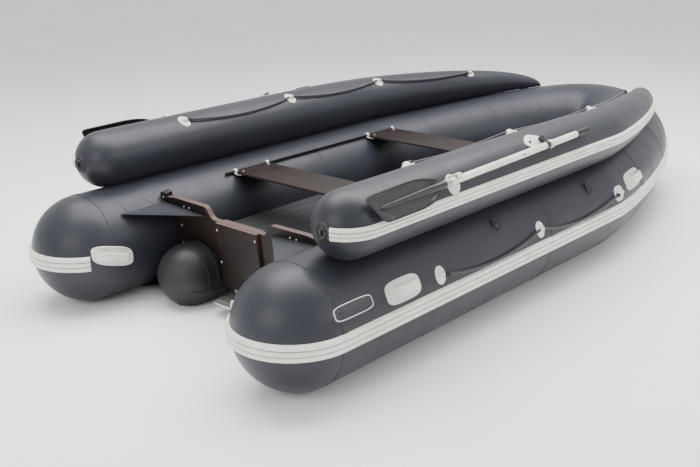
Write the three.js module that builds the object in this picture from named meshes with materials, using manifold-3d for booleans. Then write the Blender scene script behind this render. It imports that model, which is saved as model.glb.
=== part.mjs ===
// Inflatable dinghy with a second tube on each side: millimetres, +X to the bow, +Y to port, +Z up.
import * as THREE from 'three';
import Module from 'manifold-3d';
import { mergeVertices } from 'three/addons/utils/BufferGeometryUtils.js';

const wasm = await Module();
wasm.setup();

// Driving dimensions. X runs from the aft tip of the main tubes; the whole boat is centred at the end.
const gap = 0.3;
const tube = { radius: 250, offset: 695, straight: 2250, split: 1650, rise: 72, riseFrom: 2125 };
const bow = { tip: 3686, handle: 50, width: 490 };
const bulwark = { radius: 136, tip: 311, lean: rad(14.1), taperFrom: 1670, end: 3585, sink: 8 };
const sponson = { radius: 146, tip: 375, offset: 295, height: 130, low: 4, halfWidth: 140, halfHeight: 98 };
const transom = { foot: 616, rake: rad(5.2), thickness: 27, padThickness: 18, clampThickness: 12 };
const floorSlab = { aft: 658, low: 205, top: 262, clearance: 2 };
const bench = { width: 232, halfLength: 532, thickness: 12, top: 470, aft: 1035, forward: 2035 };
const rail = { angle: rad(124), lift: 14, radius: 6, start: 985, end: 2268 };
const oarlock = { x: 1595, axisAngle: rad(49), height: 156 };
const oar = { offset: 37, tilt: rad(1), shaftRadius: 15, aft: -728, fore: 247, gripEnd: 358, bladeEnd: -1184 };
const cordRadius = 6;
const middle = (bow.tip + tube.radius) / 2;

const UP = new THREE.Vector3(0, 0, 1);
const TUBE_SIDES = 28;
const DOME_STEP = rad(15);

const finishes = {
  pvc: finish(0x5b5f68, 0.5),
  darkPvc: finish(0x3c3e43, 0.55),
  strake: finish(0xdfdcd4, 0.5),
  white: finish(0xd9d6cf, 0.45),
  black: finish(0x1c1d1f, 0.55),
  plywood: finish(0x4a3331, 0.5),
  aluminium: finish(0xc2c4c6, 0.4, 0.9),
  shaft: finish(0xe2dccf, 0.35),
  blade: finish(0x35373b, 0.45),
  rope: finish(0x202124, 0.85),
};

function rad(degrees) {
  return THREE.MathUtils.degToRad(degrees);
}

function finish(color, roughness, metalness = 0) {
  return { color, roughness, metalness };
}

// ---- Solids -------------------------------------------------------------------------------------

// Closes a run of equal rings into one solid, each end fanned to a pole or to the ring's middle.
function solidFromRings(rings, startPole, endPole) {
  const count = rings[0].length;
  const first = startPole ?? middleOf(rings[0]);
  const last = endPole ?? middleOf(rings.at(-1));
  const points = [first, ...rings.flat(), last];
  const end = points.length - 1;
  const faces = [];
  for (let i = 0; i < count; i += 1) {
    const j = (i + 1) % count;
    faces.push(0, 1 + j, 1 + i);
    for (let k = 0; k < rings.length - 1; k += 1) {
      const a = 1 + k * count;
      const b = a + count;
      faces.push(a + i, a + j, b + j);
      faces.push(a + i, b + j, b + i);
    }
    faces.push(end - count + i, end - count + j, end);
  }
  return solid(points, faces);
}

function middleOf(ring) {
  const sum = ring.reduce((total, point) => total.add(point), new THREE.Vector3());
  return sum.divideScalar(ring.length);
}

function solid(points, faces) {
  const geometry = new THREE.BufferGeometry().setFromPoints(points);
  const volume = signedVolume(points, faces);
  geometry.setIndex(volume < 0 ? flipped(faces) : faces);
  return geometry;
}

function signedVolume(points, faces) {
  let total = 0;
  const cross = new THREE.Vector3();
  for (let i = 0; i < faces.length; i += 3) {
    cross.crossVectors(points[faces[i + 1]], points[faces[i + 2]]);
    total += points[faces[i]].dot(cross);
  }
  return total / 6;
}

function flipped(faces) {
  const turned = [];
  for (let i = 0; i < faces.length; i += 3) {
    turned.push(faces[i], faces[i + 2], faces[i + 1]);
  }
  return turned;
}

function mirrored(geometry) {
  const copy = bare(geometry).scale(1, -1, 1);
  copy.setIndex(flipped([...copy.index.array]));
  return copy;
}

// A copy with positions and an index only, its shared corners merged.
function bare(geometry) {
  const copy = geometry.clone();
  copy.deleteAttribute('normal');
  copy.deleteAttribute('uv');
  return mergeVertices(copy, 0.001);
}

function toManifold(geometry) {
  const merged = bare(geometry);
  const mesh = new wasm.Mesh({
    numProp: 3,
    vertProperties: new Float32Array(merged.attributes.position.array),
    triVerts: new Uint32Array(merged.index.array),
  });
  return new wasm.Manifold(mesh);
}

function fromManifold(manifold) {
  const mesh = manifold.getMesh();
  const geometry = new THREE.BufferGeometry();
  geometry.setAttribute('position', new THREE.BufferAttribute(mesh.vertProperties, 3));
  geometry.setIndex([...mesh.triVerts]);
  return geometry;
}

function joined(...geometries) {
  const parts = geometries.map(toManifold);
  return fromManifold(parts.reduce((whole, part) => whole.add(part)));
}

// Extrudes a shape drawn in (y, z) along +X, from x = start.
function extrudedAlongX(shape, start, depth, curveSegments = 6) {
  const geometry = new THREE.ExtrudeGeometry(shape, { depth, bevelEnabled: false, curveSegments });
  const basis = new THREE.Matrix4().makeBasis(
    new THREE.Vector3(0, 1, 0), new THREE.Vector3(0, 0, 1), new THREE.Vector3(1, 0, 0));
  return geometry.applyMatrix4(basis).translate(start, 0, 0);
}

function flatShape(shape, bottom, depth, curveSegments = 4) {
  const geometry = new THREE.ExtrudeGeometry(shape, { depth, bevelEnabled: false, curveSegments });
  return geometry.translate(0, 0, bottom);
}

// A turned piece: profile in (radius, height), with its axis along `direction` from `foot`.
function turned(profile, foot, direction, sides) {
  const points = profile.map(([radius, height]) => new THREE.Vector2(radius, height));
  const geometry = new THREE.LatheGeometry(points, sides);
  const turn = new THREE.Quaternion().setFromUnitVectors(new THREE.Vector3(0, 1, 0), direction);
  return geometry.applyQuaternion(turn).translate(foot.x, foot.y, foot.z);
}

// ---- Surfaces of the tubes ------------------------------------------------------------------------

const bowCurve = new THREE.CubicBezierCurve(
  new THREE.Vector2(tube.straight, tube.offset),
  new THREE.Vector2(tube.straight + bow.handle, tube.offset),
  new THREE.Vector2(bow.tip, bow.width),
  new THREE.Vector2(bow.tip, 0));
const stem = tube.straight + bowCurve.getLength();

function riseAt(x) {
  const share = Math.max(0, (x - tube.riseFrom) / (bow.tip - tube.riseFrom));
  return tube.rise * share * share;
}

// Centre and outward direction of the port main tube, at a distance along its middle line.
function station(distance) {
  if (distance <= tube.straight) {
    const centre = new THREE.Vector3(distance, tube.offset, tube.radius + riseAt(distance));
    return { centre, outward: new THREE.Vector3(0, 1, 0) };
  }
  const share = Math.min(1, (distance - tube.straight) / bowCurve.getLength());
  const point = bowCurve.getPointAt(share);
  const tangent = bowCurve.getTangentAt(share);
  const centre = new THREE.Vector3(point.x, point.y, tube.radius + riseAt(point.x));
  return { centre, outward: new THREE.Vector3(-tangent.y, tangent.x, 0) };
}

function around(centre, outward, angle, radius) {
  return centre.clone()
    .addScaledVector(outward, radius * Math.cos(angle))
    .addScaledVector(UP, radius * Math.sin(angle));
}

function bulwarkRadius(distance) {
  const share = Math.max(0, (distance - bulwark.taperFrom) / (bulwark.end - bulwark.taperFrom));
  return bulwark.radius * Math.sqrt(Math.max(0, 1 - share * share));
}

function bulwarkStation(distance) {
  const { centre, outward } = station(distance);
  const radius = bulwarkRadius(distance);
  const reach = tube.radius + radius * (1 - bulwark.sink / bulwark.radius);
  return { centre: around(centre, outward, Math.PI / 2 - bulwark.lean, reach), outward, radius };
}

// Keeps a bulwark's point off the main tube, where the two tubes press flat on each other.
function offMainTube(point, distance) {
  const { centre, outward } = station(distance);
  const away = point.clone().sub(centre);
  const across = away.dot(outward);
  const height = away.z;
  const reach = Math.hypot(across, height);
  const least = tube.radius + 1.5;
  if (reach >= least) return point;
  return around(centre, outward, Math.atan2(height, across), least);
}

// A point on the main tube's skin. Run is measured from where the aft dome ends, negative on the dome.
function mainSkin(run, angle, lift) {
  if (run >= 0) {
    const { centre, outward } = station(run + tube.radius);
    return around(centre, outward, angle, tube.radius + lift);
  }
  const turn = Math.PI / 2 + run / tube.radius;
  const reach = (tube.radius + lift) * Math.sin(turn);
  const along = tube.radius - (tube.radius + lift) * Math.cos(turn);
  const centre = new THREE.Vector3(along, tube.offset, tube.radius);
  return around(centre, new THREE.Vector3(0, 1, 0), angle, reach);
}

function bulwarkSkin(run, angle, lift) {
  const { centre, outward, radius } = bulwarkStation(run);
  return around(centre, outward, angle, radius + lift);
}

function skinNormal(skin, run, angle) {
  return skin(run, angle, 10).sub(skin(run, angle, 0)).normalize();
}

// ---- Air tubes --------------------------------------------------------------------------------------

function ringOf(sides, pointAt) {
  return Array.from({ length: sides }, (_, i) => pointAt((i / sides) * 2 * Math.PI));
}

function mainRing(distance) {
  const { centre, outward } = station(distance);
  return ringOf(TUBE_SIDES, (angle) => around(centre, outward, angle, tube.radius));
}

function domeRings(tip, radius, offset, height, sides) {
  const rings = [];
  for (let turn = DOME_STEP; turn < Math.PI / 2 + 0.01; turn += DOME_STEP) {
    const centre = new THREE.Vector3(tip + radius * (1 - Math.cos(turn)), offset, height);
    const outward = new THREE.Vector3(0, 1, 0);
    rings.push(ringOf(sides, (angle) => around(centre, outward, angle, radius * Math.sin(turn))));
  }
  return rings;
}

function sideChamber() {
  const rings = domeRings(0, tube.radius, tube.offset, tube.radius, TUBE_SIDES);
  rings.push(mainRing(tube.split - gap));
  return solidFromRings(rings, new THREE.Vector3(0, tube.offset, tube.radius));
}

// Stations of everything that follows the bow, so that neighbours share their facets.
function bowDistances() {
  const distances = [tube.split, tube.riseFrom, tube.straight];
  const steps = 13;
  for (let i = 1; i <= steps; i += 1) {
    distances.push(tube.straight + ((stem - tube.straight) * i) / steps);
  }
  return distances;
}

function taperDistances() {
  const steps = 14;
  return Array.from({ length: steps }, (_, i) => {
    const share = Math.sin((i / steps) * (Math.PI / 2));
    return bulwark.taperFrom + (bulwark.end - bulwark.taperFrom) * share;
  });
}

function bowChamber() {
  const rings = bowDistances().map(mainRing);
  rings.at(-1).forEach((point) => point.setY(gap / 2));
  return solidFromRings(rings);
}

function bulwarkTube() {
  const sides = 20;
  const { centre } = bulwarkStation(bulwark.tip + bulwark.radius);
  const rings = domeRings(bulwark.tip, bulwark.radius, centre.y, centre.z, sides)
    .map((ring) => ring.map((point) => offMainTube(point, point.x)));
  taperDistances().forEach((distance) => {
    const spot = bulwarkStation(distance);
    rings.push(ringOf(sides, (angle) => (
      offMainTube(around(spot.centre, spot.outward, angle, spot.radius), distance))));
  });
  const tip = bulwarkStation(bulwark.end);
  return solidFromRings(rings, new THREE.Vector3(bulwark.tip, centre.y, centre.z),
    offMainTube(around(tip.centre, tip.outward, Math.PI / 2, 3), bulwark.end));
}

// ---- Bottom -----------------------------------------------------------------------------------------

// Where a line set inward from the tube's middle line lies in plan.
function inset(distance, inward) {
  const { centre, outward } = station(distance);
  return centre.clone().addScaledVector(outward, -inward);
}

function slabRing(x, halfWidth, low, top) {
  const lift = riseAt(x);
  return [[halfWidth, low], [-halfWidth, low], [-halfWidth, top], [halfWidth, top]]
    .map(([y, z]) => new THREE.Vector3(x, y, z + lift));
}

function floorSolid() {
  const inward = tube.radius + floorSlab.clearance;
  const rings = [slabRing(floorSlab.aft, tube.offset - inward, floorSlab.low, floorSlab.top)];
  bowDistances().slice(1, -1).forEach((distance) => {
    const edge = inset(distance, inward);
    rings.push(slabRing(edge.x, edge.y, floorSlab.low, floorSlab.top));
  });
  return solidFromRings(rings);
}

// Round aft of the transom and flat where it stands, then a wide oval to a tapered fore end.
function sponsonSolid() {
  const sides = 24;
  const { radius, offset, height, tip, low, halfWidth, halfHeight } = sponson;
  const rings = domeRings(tip, radius, offset, height, sides);
  const oval = (x, wide, high, middleHeight) => {
    const centre = new THREE.Vector3(x, offset, middleHeight + riseAt(x));
    rings.push(ringOf(sides, (angle) => centre.clone()
      .add(new THREE.Vector3(0, wide * Math.cos(angle), high * Math.sin(angle)))));
  };
  oval(transom.foot - 30, radius, radius, height);
  rings.forEach((ring) => ring.forEach((point) => point.setZ(Math.max(low, point.z))));
  oval(floorSlab.aft - 4, halfWidth, halfHeight, low + halfHeight);
  oval(tube.riseFrom, halfWidth, halfHeight, low + halfHeight);
  const taper = { from: 2160, to: 2880, steps: 6 };
  for (let i = 0; i < taper.steps; i += 1) {
    const share = Math.sin((i / taper.steps) * (Math.PI / 2));
    const size = Math.cos((i / taper.steps) * (Math.PI / 2));
    oval(taper.from + (taper.to - taper.from) * share, halfWidth * size, halfHeight * size,
      low + halfHeight * size);
  }
  const last = new THREE.Vector3(taper.to, offset, low + 6 + riseAt(taper.to));
  return solidFromRings(rings, new THREE.Vector3(tip, offset, height), last);
}

const panel = { thickness: 5, outerHeight: 15, innerHeight: 60, inward: 104, aft: 455 };

// The panels lie outboard of the sponsons, and close to the tunnel's panel forward of them.
function innerEdge(x) {
  if (x > 3080) return 101;
  return 428 - Math.max(0, x - 2650) * 0.3;
}

function panelRing(x, outer) {
  const inner = innerEdge(x);
  const lift = riseAt(x);
  const low = [0, 0.3, 0.6, 1].map((share) => new THREE.Vector3(x, inner + (outer - inner) * share,
    panel.innerHeight + (panel.outerHeight - panel.innerHeight) * share + lift));
  const top = low.map((point) => point.clone().setZ(point.z + panel.thickness)).reverse();
  return [...low, ...top];
}

function bottomPanel() {
  const rings = [panelRing(panel.aft, tube.offset - panel.inward)];
  bowDistances().slice(0, -3).forEach((distance) => {
    const edge = inset(distance, panel.inward);
    rings.push(panelRing(edge.x, edge.y));
  });
  return solidFromRings(rings);
}

function tunnelPanel() {
  const wide = 160;
  const narrow = 98;
  const reach = [[645, wide], [tube.riseFrom, wide], [2700, wide], [2900, narrow], [3200, narrow], [3450, narrow]];
  return solidFromRings(reach.map(([x, half]) => slabRing(x, half, 56, 62)));
}

// ---- Transom ----------------------------------------------------------------------------------------

function raked(geometry) {
  return geometry.applyMatrix4(new THREE.Matrix4().makeRotationY(-transom.rake))
    .translate(transom.foot, 0, 0);
}

function archPoint(radius, angle) {
  return [sponson.offset + radius * Math.cos(angle), sponson.height + radius * Math.sin(angle)];
}

// Half outline in (y, z), from the middle of the notch out over the wing and back along the bottom.
function boardOutline() {
  const half = [[150, 405], [172, 409], [188, 421], [206, 449], [222, 459], [436, 462], [496, 454]];
  const side = tube.radius + 3;
  for (let angle = 141; angle <= 203; angle += 10.3) {
    half.push([tube.offset + side * Math.cos(rad(angle)), tube.radius + side * Math.sin(rad(angle))]);
  }
  const archRadius = sponson.radius + 3;
  for (let angle = -2; angle <= 206; angle += 16) {
    half.push(archPoint(archRadius, rad(angle)));
  }
  half.push([116, 62]);
  const other = half.map(([y, z]) => [-y, z]).reverse();
  return new THREE.Shape([...half, ...other].map(([y, z]) => new THREE.Vector2(y, z)));
}

function padShape() {
  const corners = [[-135, 93], [135, 93], [135, 405], [-135, 405]];
  return new THREE.Shape(corners.map(([y, z]) => new THREE.Vector2(y, z)));
}

function transomBoard() {
  return raked(extrudedAlongX(boardOutline(), 0, transom.thickness));
}

function motorPad() {
  const start = -transom.padThickness - gap;
  return raked(extrudedAlongX(padShape(), start, transom.padThickness));
}

function clampPad() {
  const pad = new THREE.Shape();
  roundedRectangle(pad, 132, 290, 404, 10);
  return raked(extrudedAlongX(pad, transom.thickness + gap, transom.clampThickness, 2));
}

function roundedRectangle(shape, halfWidth, low, top, corner) {
  shape.moveTo(-halfWidth + corner, low);
  shape.lineTo(halfWidth - corner, low);
  shape.quadraticCurveTo(halfWidth, low, halfWidth, low + corner);
  shape.lineTo(halfWidth, top - corner);
  shape.quadraticCurveTo(halfWidth, top, halfWidth - corner, top);
  shape.lineTo(-halfWidth + corner, top);
  shape.quadraticCurveTo(-halfWidth, top, -halfWidth, top - corner);
  shape.lineTo(-halfWidth, low + corner);
  shape.quadraticCurveTo(-halfWidth, low, -halfWidth + corner, low);
}

function transomHolder() {
  const seat = tube.radius + 4;
  const inner = 500;
  const outer = 541;
  const seatAt = (y) => tube.radius + Math.sqrt(seat * seat - (tube.offset - y) * (tube.offset - y));
  const outline = [[inner, seatAt(inner)], [outer, seatAt(outer)], [outer, 466], [530, 474], [inner, 474]];
  const shape = new THREE.Shape(outline.map(([y, z]) => new THREE.Vector2(y, z)));
  return raked(extrudedAlongX(shape, -2, transom.thickness + 14));
}

function tunnelPlate() {
  const foot = new THREE.Shape();
  const lip = { aft: 476, half: 98, corner: 34, low: 55, thickness: 5 };
  const front = transom.foot - 6;
  foot.moveTo(front, -lip.half);
  foot.lineTo(front, lip.half);
  foot.lineTo(lip.aft + lip.corner, lip.half);
  foot.quadraticCurveTo(lip.aft, lip.half, lip.aft, lip.half - lip.corner);
  foot.lineTo(lip.aft, -lip.half + lip.corner);
  foot.quadraticCurveTo(lip.aft, -lip.half, lip.aft + lip.corner, -lip.half);
  const upright = new THREE.Shape();
  roundedRectangle(upright, 80, 57, 88, 4);
  const plate = flatShape(foot, lip.low, lip.thickness);
  return joined(plate, raked(extrudedAlongX(upright, -5 - gap, 5, 2)));
}

function gusset() {
  const outer = { y: 511, z: 424 };
  const inner = { y: 222, z: 411 };
  const front = 573;
  const tip = 328;
  const thickness = 3;
  const corners = [
    new THREE.Vector3(front, inner.y, inner.z), new THREE.Vector3(front, outer.y, outer.z),
    new THREE.Vector3(tip, outer.y, outer.z), new THREE.Vector3(tip + 4, outer.y - 12, outer.z),
    new THREE.Vector3(436, 392, 418),
  ];
  const tops = corners.map((point) => point.clone().setZ(point.z + thickness));
  return solidFromRings([corners, tops]);
}

// ---- Rub strakes --------------------------------------------------------------------------------------

// One cross-section of a strake: `heading` points away from the tube's middle line.
function strakeRing(centre, heading, radius, half, thickness) {
  const seat = 2.2;
  const profile = [
    [-half, seat], [-half, 0.4 * thickness], [-0.6 * half, thickness], [0.6 * half, thickness],
    [half, 0.4 * thickness], [half, seat], [0, seat],
  ];
  return profile.map(([height, lift]) => {
    const slope = height / radius;
    const reach = radius + lift;
    return centre.clone()
      .addScaledVector(heading, reach * Math.cos(slope))
      .addScaledVector(UP, reach * Math.sin(slope));
  });
}

function headingAt(turn) {
  return new THREE.Vector3(-Math.sin(turn), Math.cos(turn), 0);
}

const mainStrake = { half: 32, thickness: 13, innerTurn: rad(150) };

function mainStrakeRings() {
  const rings = [];
  const domeCentre = new THREE.Vector3(tube.radius, tube.offset, tube.radius);
  const add = (centre, heading) => rings.push(
    strakeRing(centre, heading, tube.radius, mainStrake.half, mainStrake.thickness));
  for (let turn = mainStrake.innerTurn; turn > -0.01; turn -= DOME_STEP) {
    add(domeCentre, headingAt(turn));
  }
  bowDistances().forEach((distance) => {
    const { centre, outward } = station(distance);
    add(centre, outward);
  });
  return rings;
}

function mainStrakeSolid() {
  const port = mainStrakeRings();
  const starboard = port.slice(0, -1).reverse()
    .map((ring) => ring.map((point) => point.clone().setY(-point.y)));
  return solidFromRings([...port, ...starboard]);
}

function bulwarkStrakeSolid() {
  const half = 23;
  const thickness = 10;
  const rings = [];
  const { centre } = bulwarkStation(bulwark.tip + bulwark.radius);
  for (let turn = rad(75); turn > -0.01; turn -= DOME_STEP) {
    rings.push(strakeRing(centre, headingAt(turn), bulwark.radius, half, thickness));
  }
  taperDistances().slice(0, -2).forEach((distance) => {
    const spot = bulwarkStation(distance);
    rings.push(strakeRing(spot.centre, spot.outward, spot.radius, half, thickness));
  });
  return solidFromRings(rings);
}

// ---- Benches and their rails ----------------------------------------------------------------------------

const railHead = around(new THREE.Vector3(0, tube.offset, tube.radius), new THREE.Vector3(0, 1, 0),
  rail.angle, tube.radius + rail.lift);

function railSolid() {
  const neck = 2.6;
  const flange = { half: 9, top: 3 - rail.lift, foot: 1.2 - rail.lift };
  const outline = [];
  for (let angle = -50; angle <= 230; angle += 40) {
    outline.push([rail.radius * Math.cos(rad(angle)), rail.radius * Math.sin(rad(angle))]);
  }
  outline.push([-neck, -rail.radius + 0.6], [-neck, flange.top], [-flange.half, flange.top]);
  outline.push([-flange.half, flange.foot], [flange.half, flange.foot]);
  outline.push([flange.half, flange.top], [neck, flange.top], [neck, -rail.radius + 0.6]);
  const turn = rail.angle - Math.PI / 2;
  const shape = new THREE.Shape(outline.map(([across, up]) => new THREE.Vector2(
    railHead.y + across * Math.cos(turn) - up * Math.sin(turn),
    railHead.z + across * Math.sin(turn) + up * Math.cos(turn))));
  return extrudedAlongX(shape, rail.start, rail.end - rail.start);
}

function benchBoard(start) {
  const shape = new THREE.Shape();
  roundedRectangle(shape, bench.halfLength, start, start + bench.width, 14);
  const geometry = flatShape(shape, bench.top - bench.thickness, bench.thickness, 3);
  return geometry.applyMatrix4(new THREE.Matrix4().makeBasis(
    new THREE.Vector3(0, 1, 0), new THREE.Vector3(1, 0, 0), new THREE.Vector3(0, 0, -1)))
    .translate(0, 0, 2 * bench.top - bench.thickness);
}

// A C section that grips the rail's head, with a tongue under the bench.
function slideSolid(start) {
  const inner = 7.2;
  const outer = 11.5;
  const polar = (radius, degrees) => [radius * Math.cos(rad(degrees)), radius * Math.sin(rad(degrees))];
  const points = [];
  for (let angle = -16; angle <= 209; angle += 25) points.push(polar(outer, angle));
  const under = bench.top - bench.thickness - railHead.z - gap;
  points.push([-14, under], [-52, under], [-52, under - 4], [-10, under - 4]);
  points.push(polar(outer, 264));
  for (let angle = 264; angle >= -16; angle -= 28) points.push(polar(inner, angle));
  const shape = new THREE.Shape(points.map(([y, z]) => new THREE.Vector2(railHead.y + y, railHead.z + z)));
  return extrudedAlongX(shape, start, bench.width);
}

// ---- Handles, valves and plugs --------------------------------------------------------------------------

// A bar of even width over a skin: heights(share) gives its underside and top along the run.
function skinBar(skin, place, widthAt, heightsAt, shares) {
  const rings = shares.map((share) => {
    const [low, top] = heightsAt(share);
    const half = widthAt(share) / place.girth;
    const run = place.run + share * place.halfRun;
    const angle = place.angle + share * (place.slant ?? 0);
    const steps = [-1, -0.5, 0, 0.5, 1];
    const under = steps.map((step) => skin(run, angle + step * half, low));
    const over = steps.map((step) => skin(run, angle + step * half, top)).reverse();
    return [...under, ...over];
  });
  return solidFromRings(rings);
}

const handle = { halfRun: 98, halfGirth: 46, barHalf: 18, clear: 22, bar: 8, seat: 1.8, base: 5 };

function handleSolid(run, angle, slant = 0) {
  const place = { run, angle, slant, halfRun: handle.halfRun, girth: tube.radius };
  const oval = (share) => handle.halfGirth * Math.sqrt(Math.max(0.12, 1 - share ** 6));
  const base = skinBar(mainSkin, place, oval, () => [handle.seat, handle.base],
    [-1, -0.93, -0.75, -0.3, 0.3, 0.75, 0.93, 1]);
  const rises = { 0.8: 2, 0.68: 16, 0.54: handle.clear + handle.base };
  const barHeights = (share) => {
    const low = rises[Math.abs(share)] ?? handle.clear + handle.base;
    return [low, low + handle.bar];
  };
  const bar = skinBar(mainSkin, place, () => handle.barHalf, barHeights,
    [-0.8, -0.68, -0.54, 0, 0.54, 0.68, 0.8]);
  return joined(base, bar);
}

const valve = { radius: 24, height: 12 };

function valveCap(run, angle) {
  const foot = mainSkin(run, angle, 1);
  const profile = [[0, 0], [valve.radius, 0], [valve.radius, 5], [valve.radius - 4, 8], [0, 8]];
  const direction = skinNormal(mainSkin, run, angle);
  const disc = turned(profile, foot, direction, 16);
  const wing = new THREE.BoxGeometry(30, valve.height - 6, 7);
  wing.translate(0, valve.height / 2 + 3, 0);
  wing.applyQuaternion(new THREE.Quaternion().setFromUnitVectors(new THREE.Vector3(0, 1, 0), direction));
  wing.translate(foot.x, foot.y, foot.z);
  return joined(disc, wing);
}

function bulwarkPlug() {
  const { centre } = bulwarkStation(bulwark.tip + bulwark.radius);
  const foot = new THREE.Vector3(bulwark.tip - 1, centre.y, centre.z);
  const aft = new THREE.Vector3(-1, 0, 0);
  const disc = turned([[0, 0], [25, 0], [25, 3], [21, 6], [0, 6]], foot, aft, 18);
  const grip = new THREE.BoxGeometry(8, 7, 26).translate(foot.x - 7, foot.y, foot.z);
  return joined(disc, grip);
}

// ---- Oars -------------------------------------------------------------------------------------------------

// Places a piece drawn with X forward, Y away from the pin and Z along the pin's axis.
function atOarlock(geometry, tilted = true) {
  const { centre } = bulwarkStation(oarlock.x);
  const axis = new THREE.Vector3(0, Math.cos(oarlock.axisAngle), Math.sin(oarlock.axisAngle));
  const out = new THREE.Vector3(0, axis.z, -axis.y);
  if (tilted) geometry.applyMatrix4(new THREE.Matrix4().makeRotationZ(-oar.tilt));
  const basis = new THREE.Matrix4().makeBasis(new THREE.Vector3(1, 0, 0), out, axis);
  basis.setPosition(oarlock.x, centre.y + axis.y * oarlock.height, centre.z + axis.z * oarlock.height);
  return geometry.applyMatrix4(basis);
}

function rod(radius, from, to, sides) {
  const geometry = new THREE.CylinderGeometry(radius, radius, to - from, sides);
  geometry.rotateZ(Math.PI / 2);
  return geometry.translate((from + to) / 2, oar.offset, 0);
}

function oarShaft() {
  return atOarlock(rod(oar.shaftRadius, oar.aft, oar.fore, 12));
}

function oarGrip() {
  return atOarlock(rod(oar.shaftRadius + 0.4, oar.fore + gap, oar.gripEnd, 12));
}

// The blade is a plate on the tube's side of its socket and spine.
function oarBlade() {
  const root = oar.aft - 44;
  const lean = 56;
  const half = 58;
  const upper = oar.bladeEnd;
  const lower = oar.bladeEnd + lean;
  const outline = new THREE.Shape();
  outline.moveTo(root, -26);
  outline.quadraticCurveTo(root - 70, -half, root - 170, -half - 2);
  outline.lineTo(upper + 26, -half);
  outline.quadraticCurveTo(upper + 2, -half + 2, upper + 8, -half + 20);
  outline.lineTo(lower - 6, half - 20);
  outline.quadraticCurveTo(lower + 4, half - 2, lower + 28, half);
  outline.lineTo(root - 150, half + 2);
  outline.quadraticCurveTo(root - 60, half, root, 26);
  const plate = flatShape(outline, -5, 5, 3);
  const spineLength = 400;
  const spine = new THREE.CylinderGeometry(17, 7, spineLength, 12).rotateZ(-Math.PI / 2);
  spine.translate(oar.aft - gap - spineLength / 2, 0, 0);
  const whole = joined(plate, spine);
  whole.rotateX(rad(28) - oarlock.axisAngle);
  whole.translate(0, oar.offset, 0);
  return atOarlock(whole);
}

function oarCollar() {
  const ring = new THREE.Shape().absarc(0, 0, 17.6, 0, 2 * Math.PI);
  ring.holes.push(new THREE.Path().absarc(0, 0, oar.shaftRadius + 0.5, 0, 2 * Math.PI, true));
  const hoop = extrudedAlongX(ring, 0, 26, 8);
  hoop.translate(-13, oar.offset, 0);
  const hub = new THREE.CylinderGeometry(15, 15, 16, 14).rotateX(Math.PI / 2);
  const arm = new THREE.BoxGeometry(18, oar.offset - 20, 10).translate(0, (oar.offset - 14) / 2, 0);
  return atOarlock(joined(hub, arm, hoop), false);
}

const patch = { low: 1, top: 2.6, shares: [-1, -0.5, 0, 0.5, 1] };

function bulwarkPatch(run, angle, halfRun, halfGirth) {
  const place = { run, angle, halfRun, girth: bulwark.radius };
  const round = (share) => halfGirth * Math.sqrt(1 - 0.5 * share ** 4);
  return skinBar(bulwarkSkin, place, round, () => [patch.low, patch.top], patch.shares);
}

function oarlockBase() {
  const top = -8 - gap;
  const foot = bulwark.radius + 2 - oarlock.height;
  const boss = new THREE.CylinderGeometry(16, 19, top - foot, 14).rotateX(Math.PI / 2);
  boss.translate(0, 0, (top + foot) / 2);
  return joined(bulwarkPatch(oarlock.x - 30, rad(54), 62, 42), atOarlock(boss, false));
}

// A flat foot with a wall and lip on its upper side, open outboard so that the shaft can swing away.
// The hook is drawn in (height up the tube, distance off its skin).
function oarClip() {
  const run = 930;
  const angle = rad(28);
  const normal = skinNormal(bulwarkSkin, run, angle);
  const upward = new THREE.Vector3(1, 0, 0).cross(normal);
  const plate = { from: -28, low: -0.6, top: 3 };
  const wall = { near: 28.4, far: 35 };
  const lip = { reach: 6, under: 45.7, over: 51.7 };
  const hook = new THREE.Shape([
    [plate.from, plate.low], [wall.far, plate.low], [wall.far, lip.over], [lip.reach, lip.over],
    [lip.reach, lip.under], [wall.near, lip.under], [wall.near, plate.top], [plate.from, plate.top],
  ].map(([up, off]) => new THREE.Vector2(off, up)));
  const bracket = extrudedAlongX(hook, -13, 26);
  bracket.applyMatrix4(new THREE.Matrix4().makeBasis(new THREE.Vector3(1, 0, 0), normal, upward));
  const foot = bulwarkSkin(run, angle, 0);
  return bracket.translate(foot.x, foot.y, foot.z);
}

// ---- Lifelines ----------------------------------------------------------------------------------------------

// Each line runs through its patches and hangs a little between them, close to the tube.
const mainLine = { skin: mainSkin, stops: [572, 1297, 2005], angle: rad(20), sag: rad(-9.5), steps: 32 };
const bulwarkLine = { skin: bulwarkSkin, stops: [879, 1607, 2325, 3045], angle: rad(122), sag: rad(15), steps: 48 };

function lineRoute(line) {
  const points = [];
  const parts = 8;
  const stretches = line.stops.length - 1;
  for (let k = 0; k < stretches; k += 1) {
    const from = line.stops[k];
    const to = line.stops[k + 1];
    for (let i = 0; i < parts; i += 1) {
      points.push(linePoint(line, from + ((to - from) * i) / parts, (4 * i * (parts - i)) / parts ** 2));
    }
  }
  points.push(linePoint(line, line.stops.at(-1), 0));
  return points;
}

function linePoint(line, run, hang) {
  return line.skin(run, line.angle + line.sag * hang, cordRadius + 4);
}

function lifeline(line) {
  const path = new THREE.CatmullRomCurve3(lineRoute(line));
  const section = new THREE.Shape(ringOf(8, (angle) => (
    new THREE.Vector2(cordRadius * Math.cos(angle), cordRadius * Math.sin(angle)))));
  return new THREE.ExtrudeGeometry(section, { steps: line.steps, bevelEnabled: false, extrudePath: path });
}

// ---- The boat --------------------------------------------------------------------------------------------------

const boat = new THREE.Group();
boat.position.x = -middle;

function add(name, geometry, look) {
  const mesh = new THREE.Mesh(geometry, new THREE.MeshStandardMaterial(look));
  mesh.name = name;
  boat.add(mesh);
}

function addPair(name, geometry, look) {
  add(`${name}_port`, geometry, look);
  add(`${name}_starboard`, mirrored(geometry), look);
}

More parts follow.
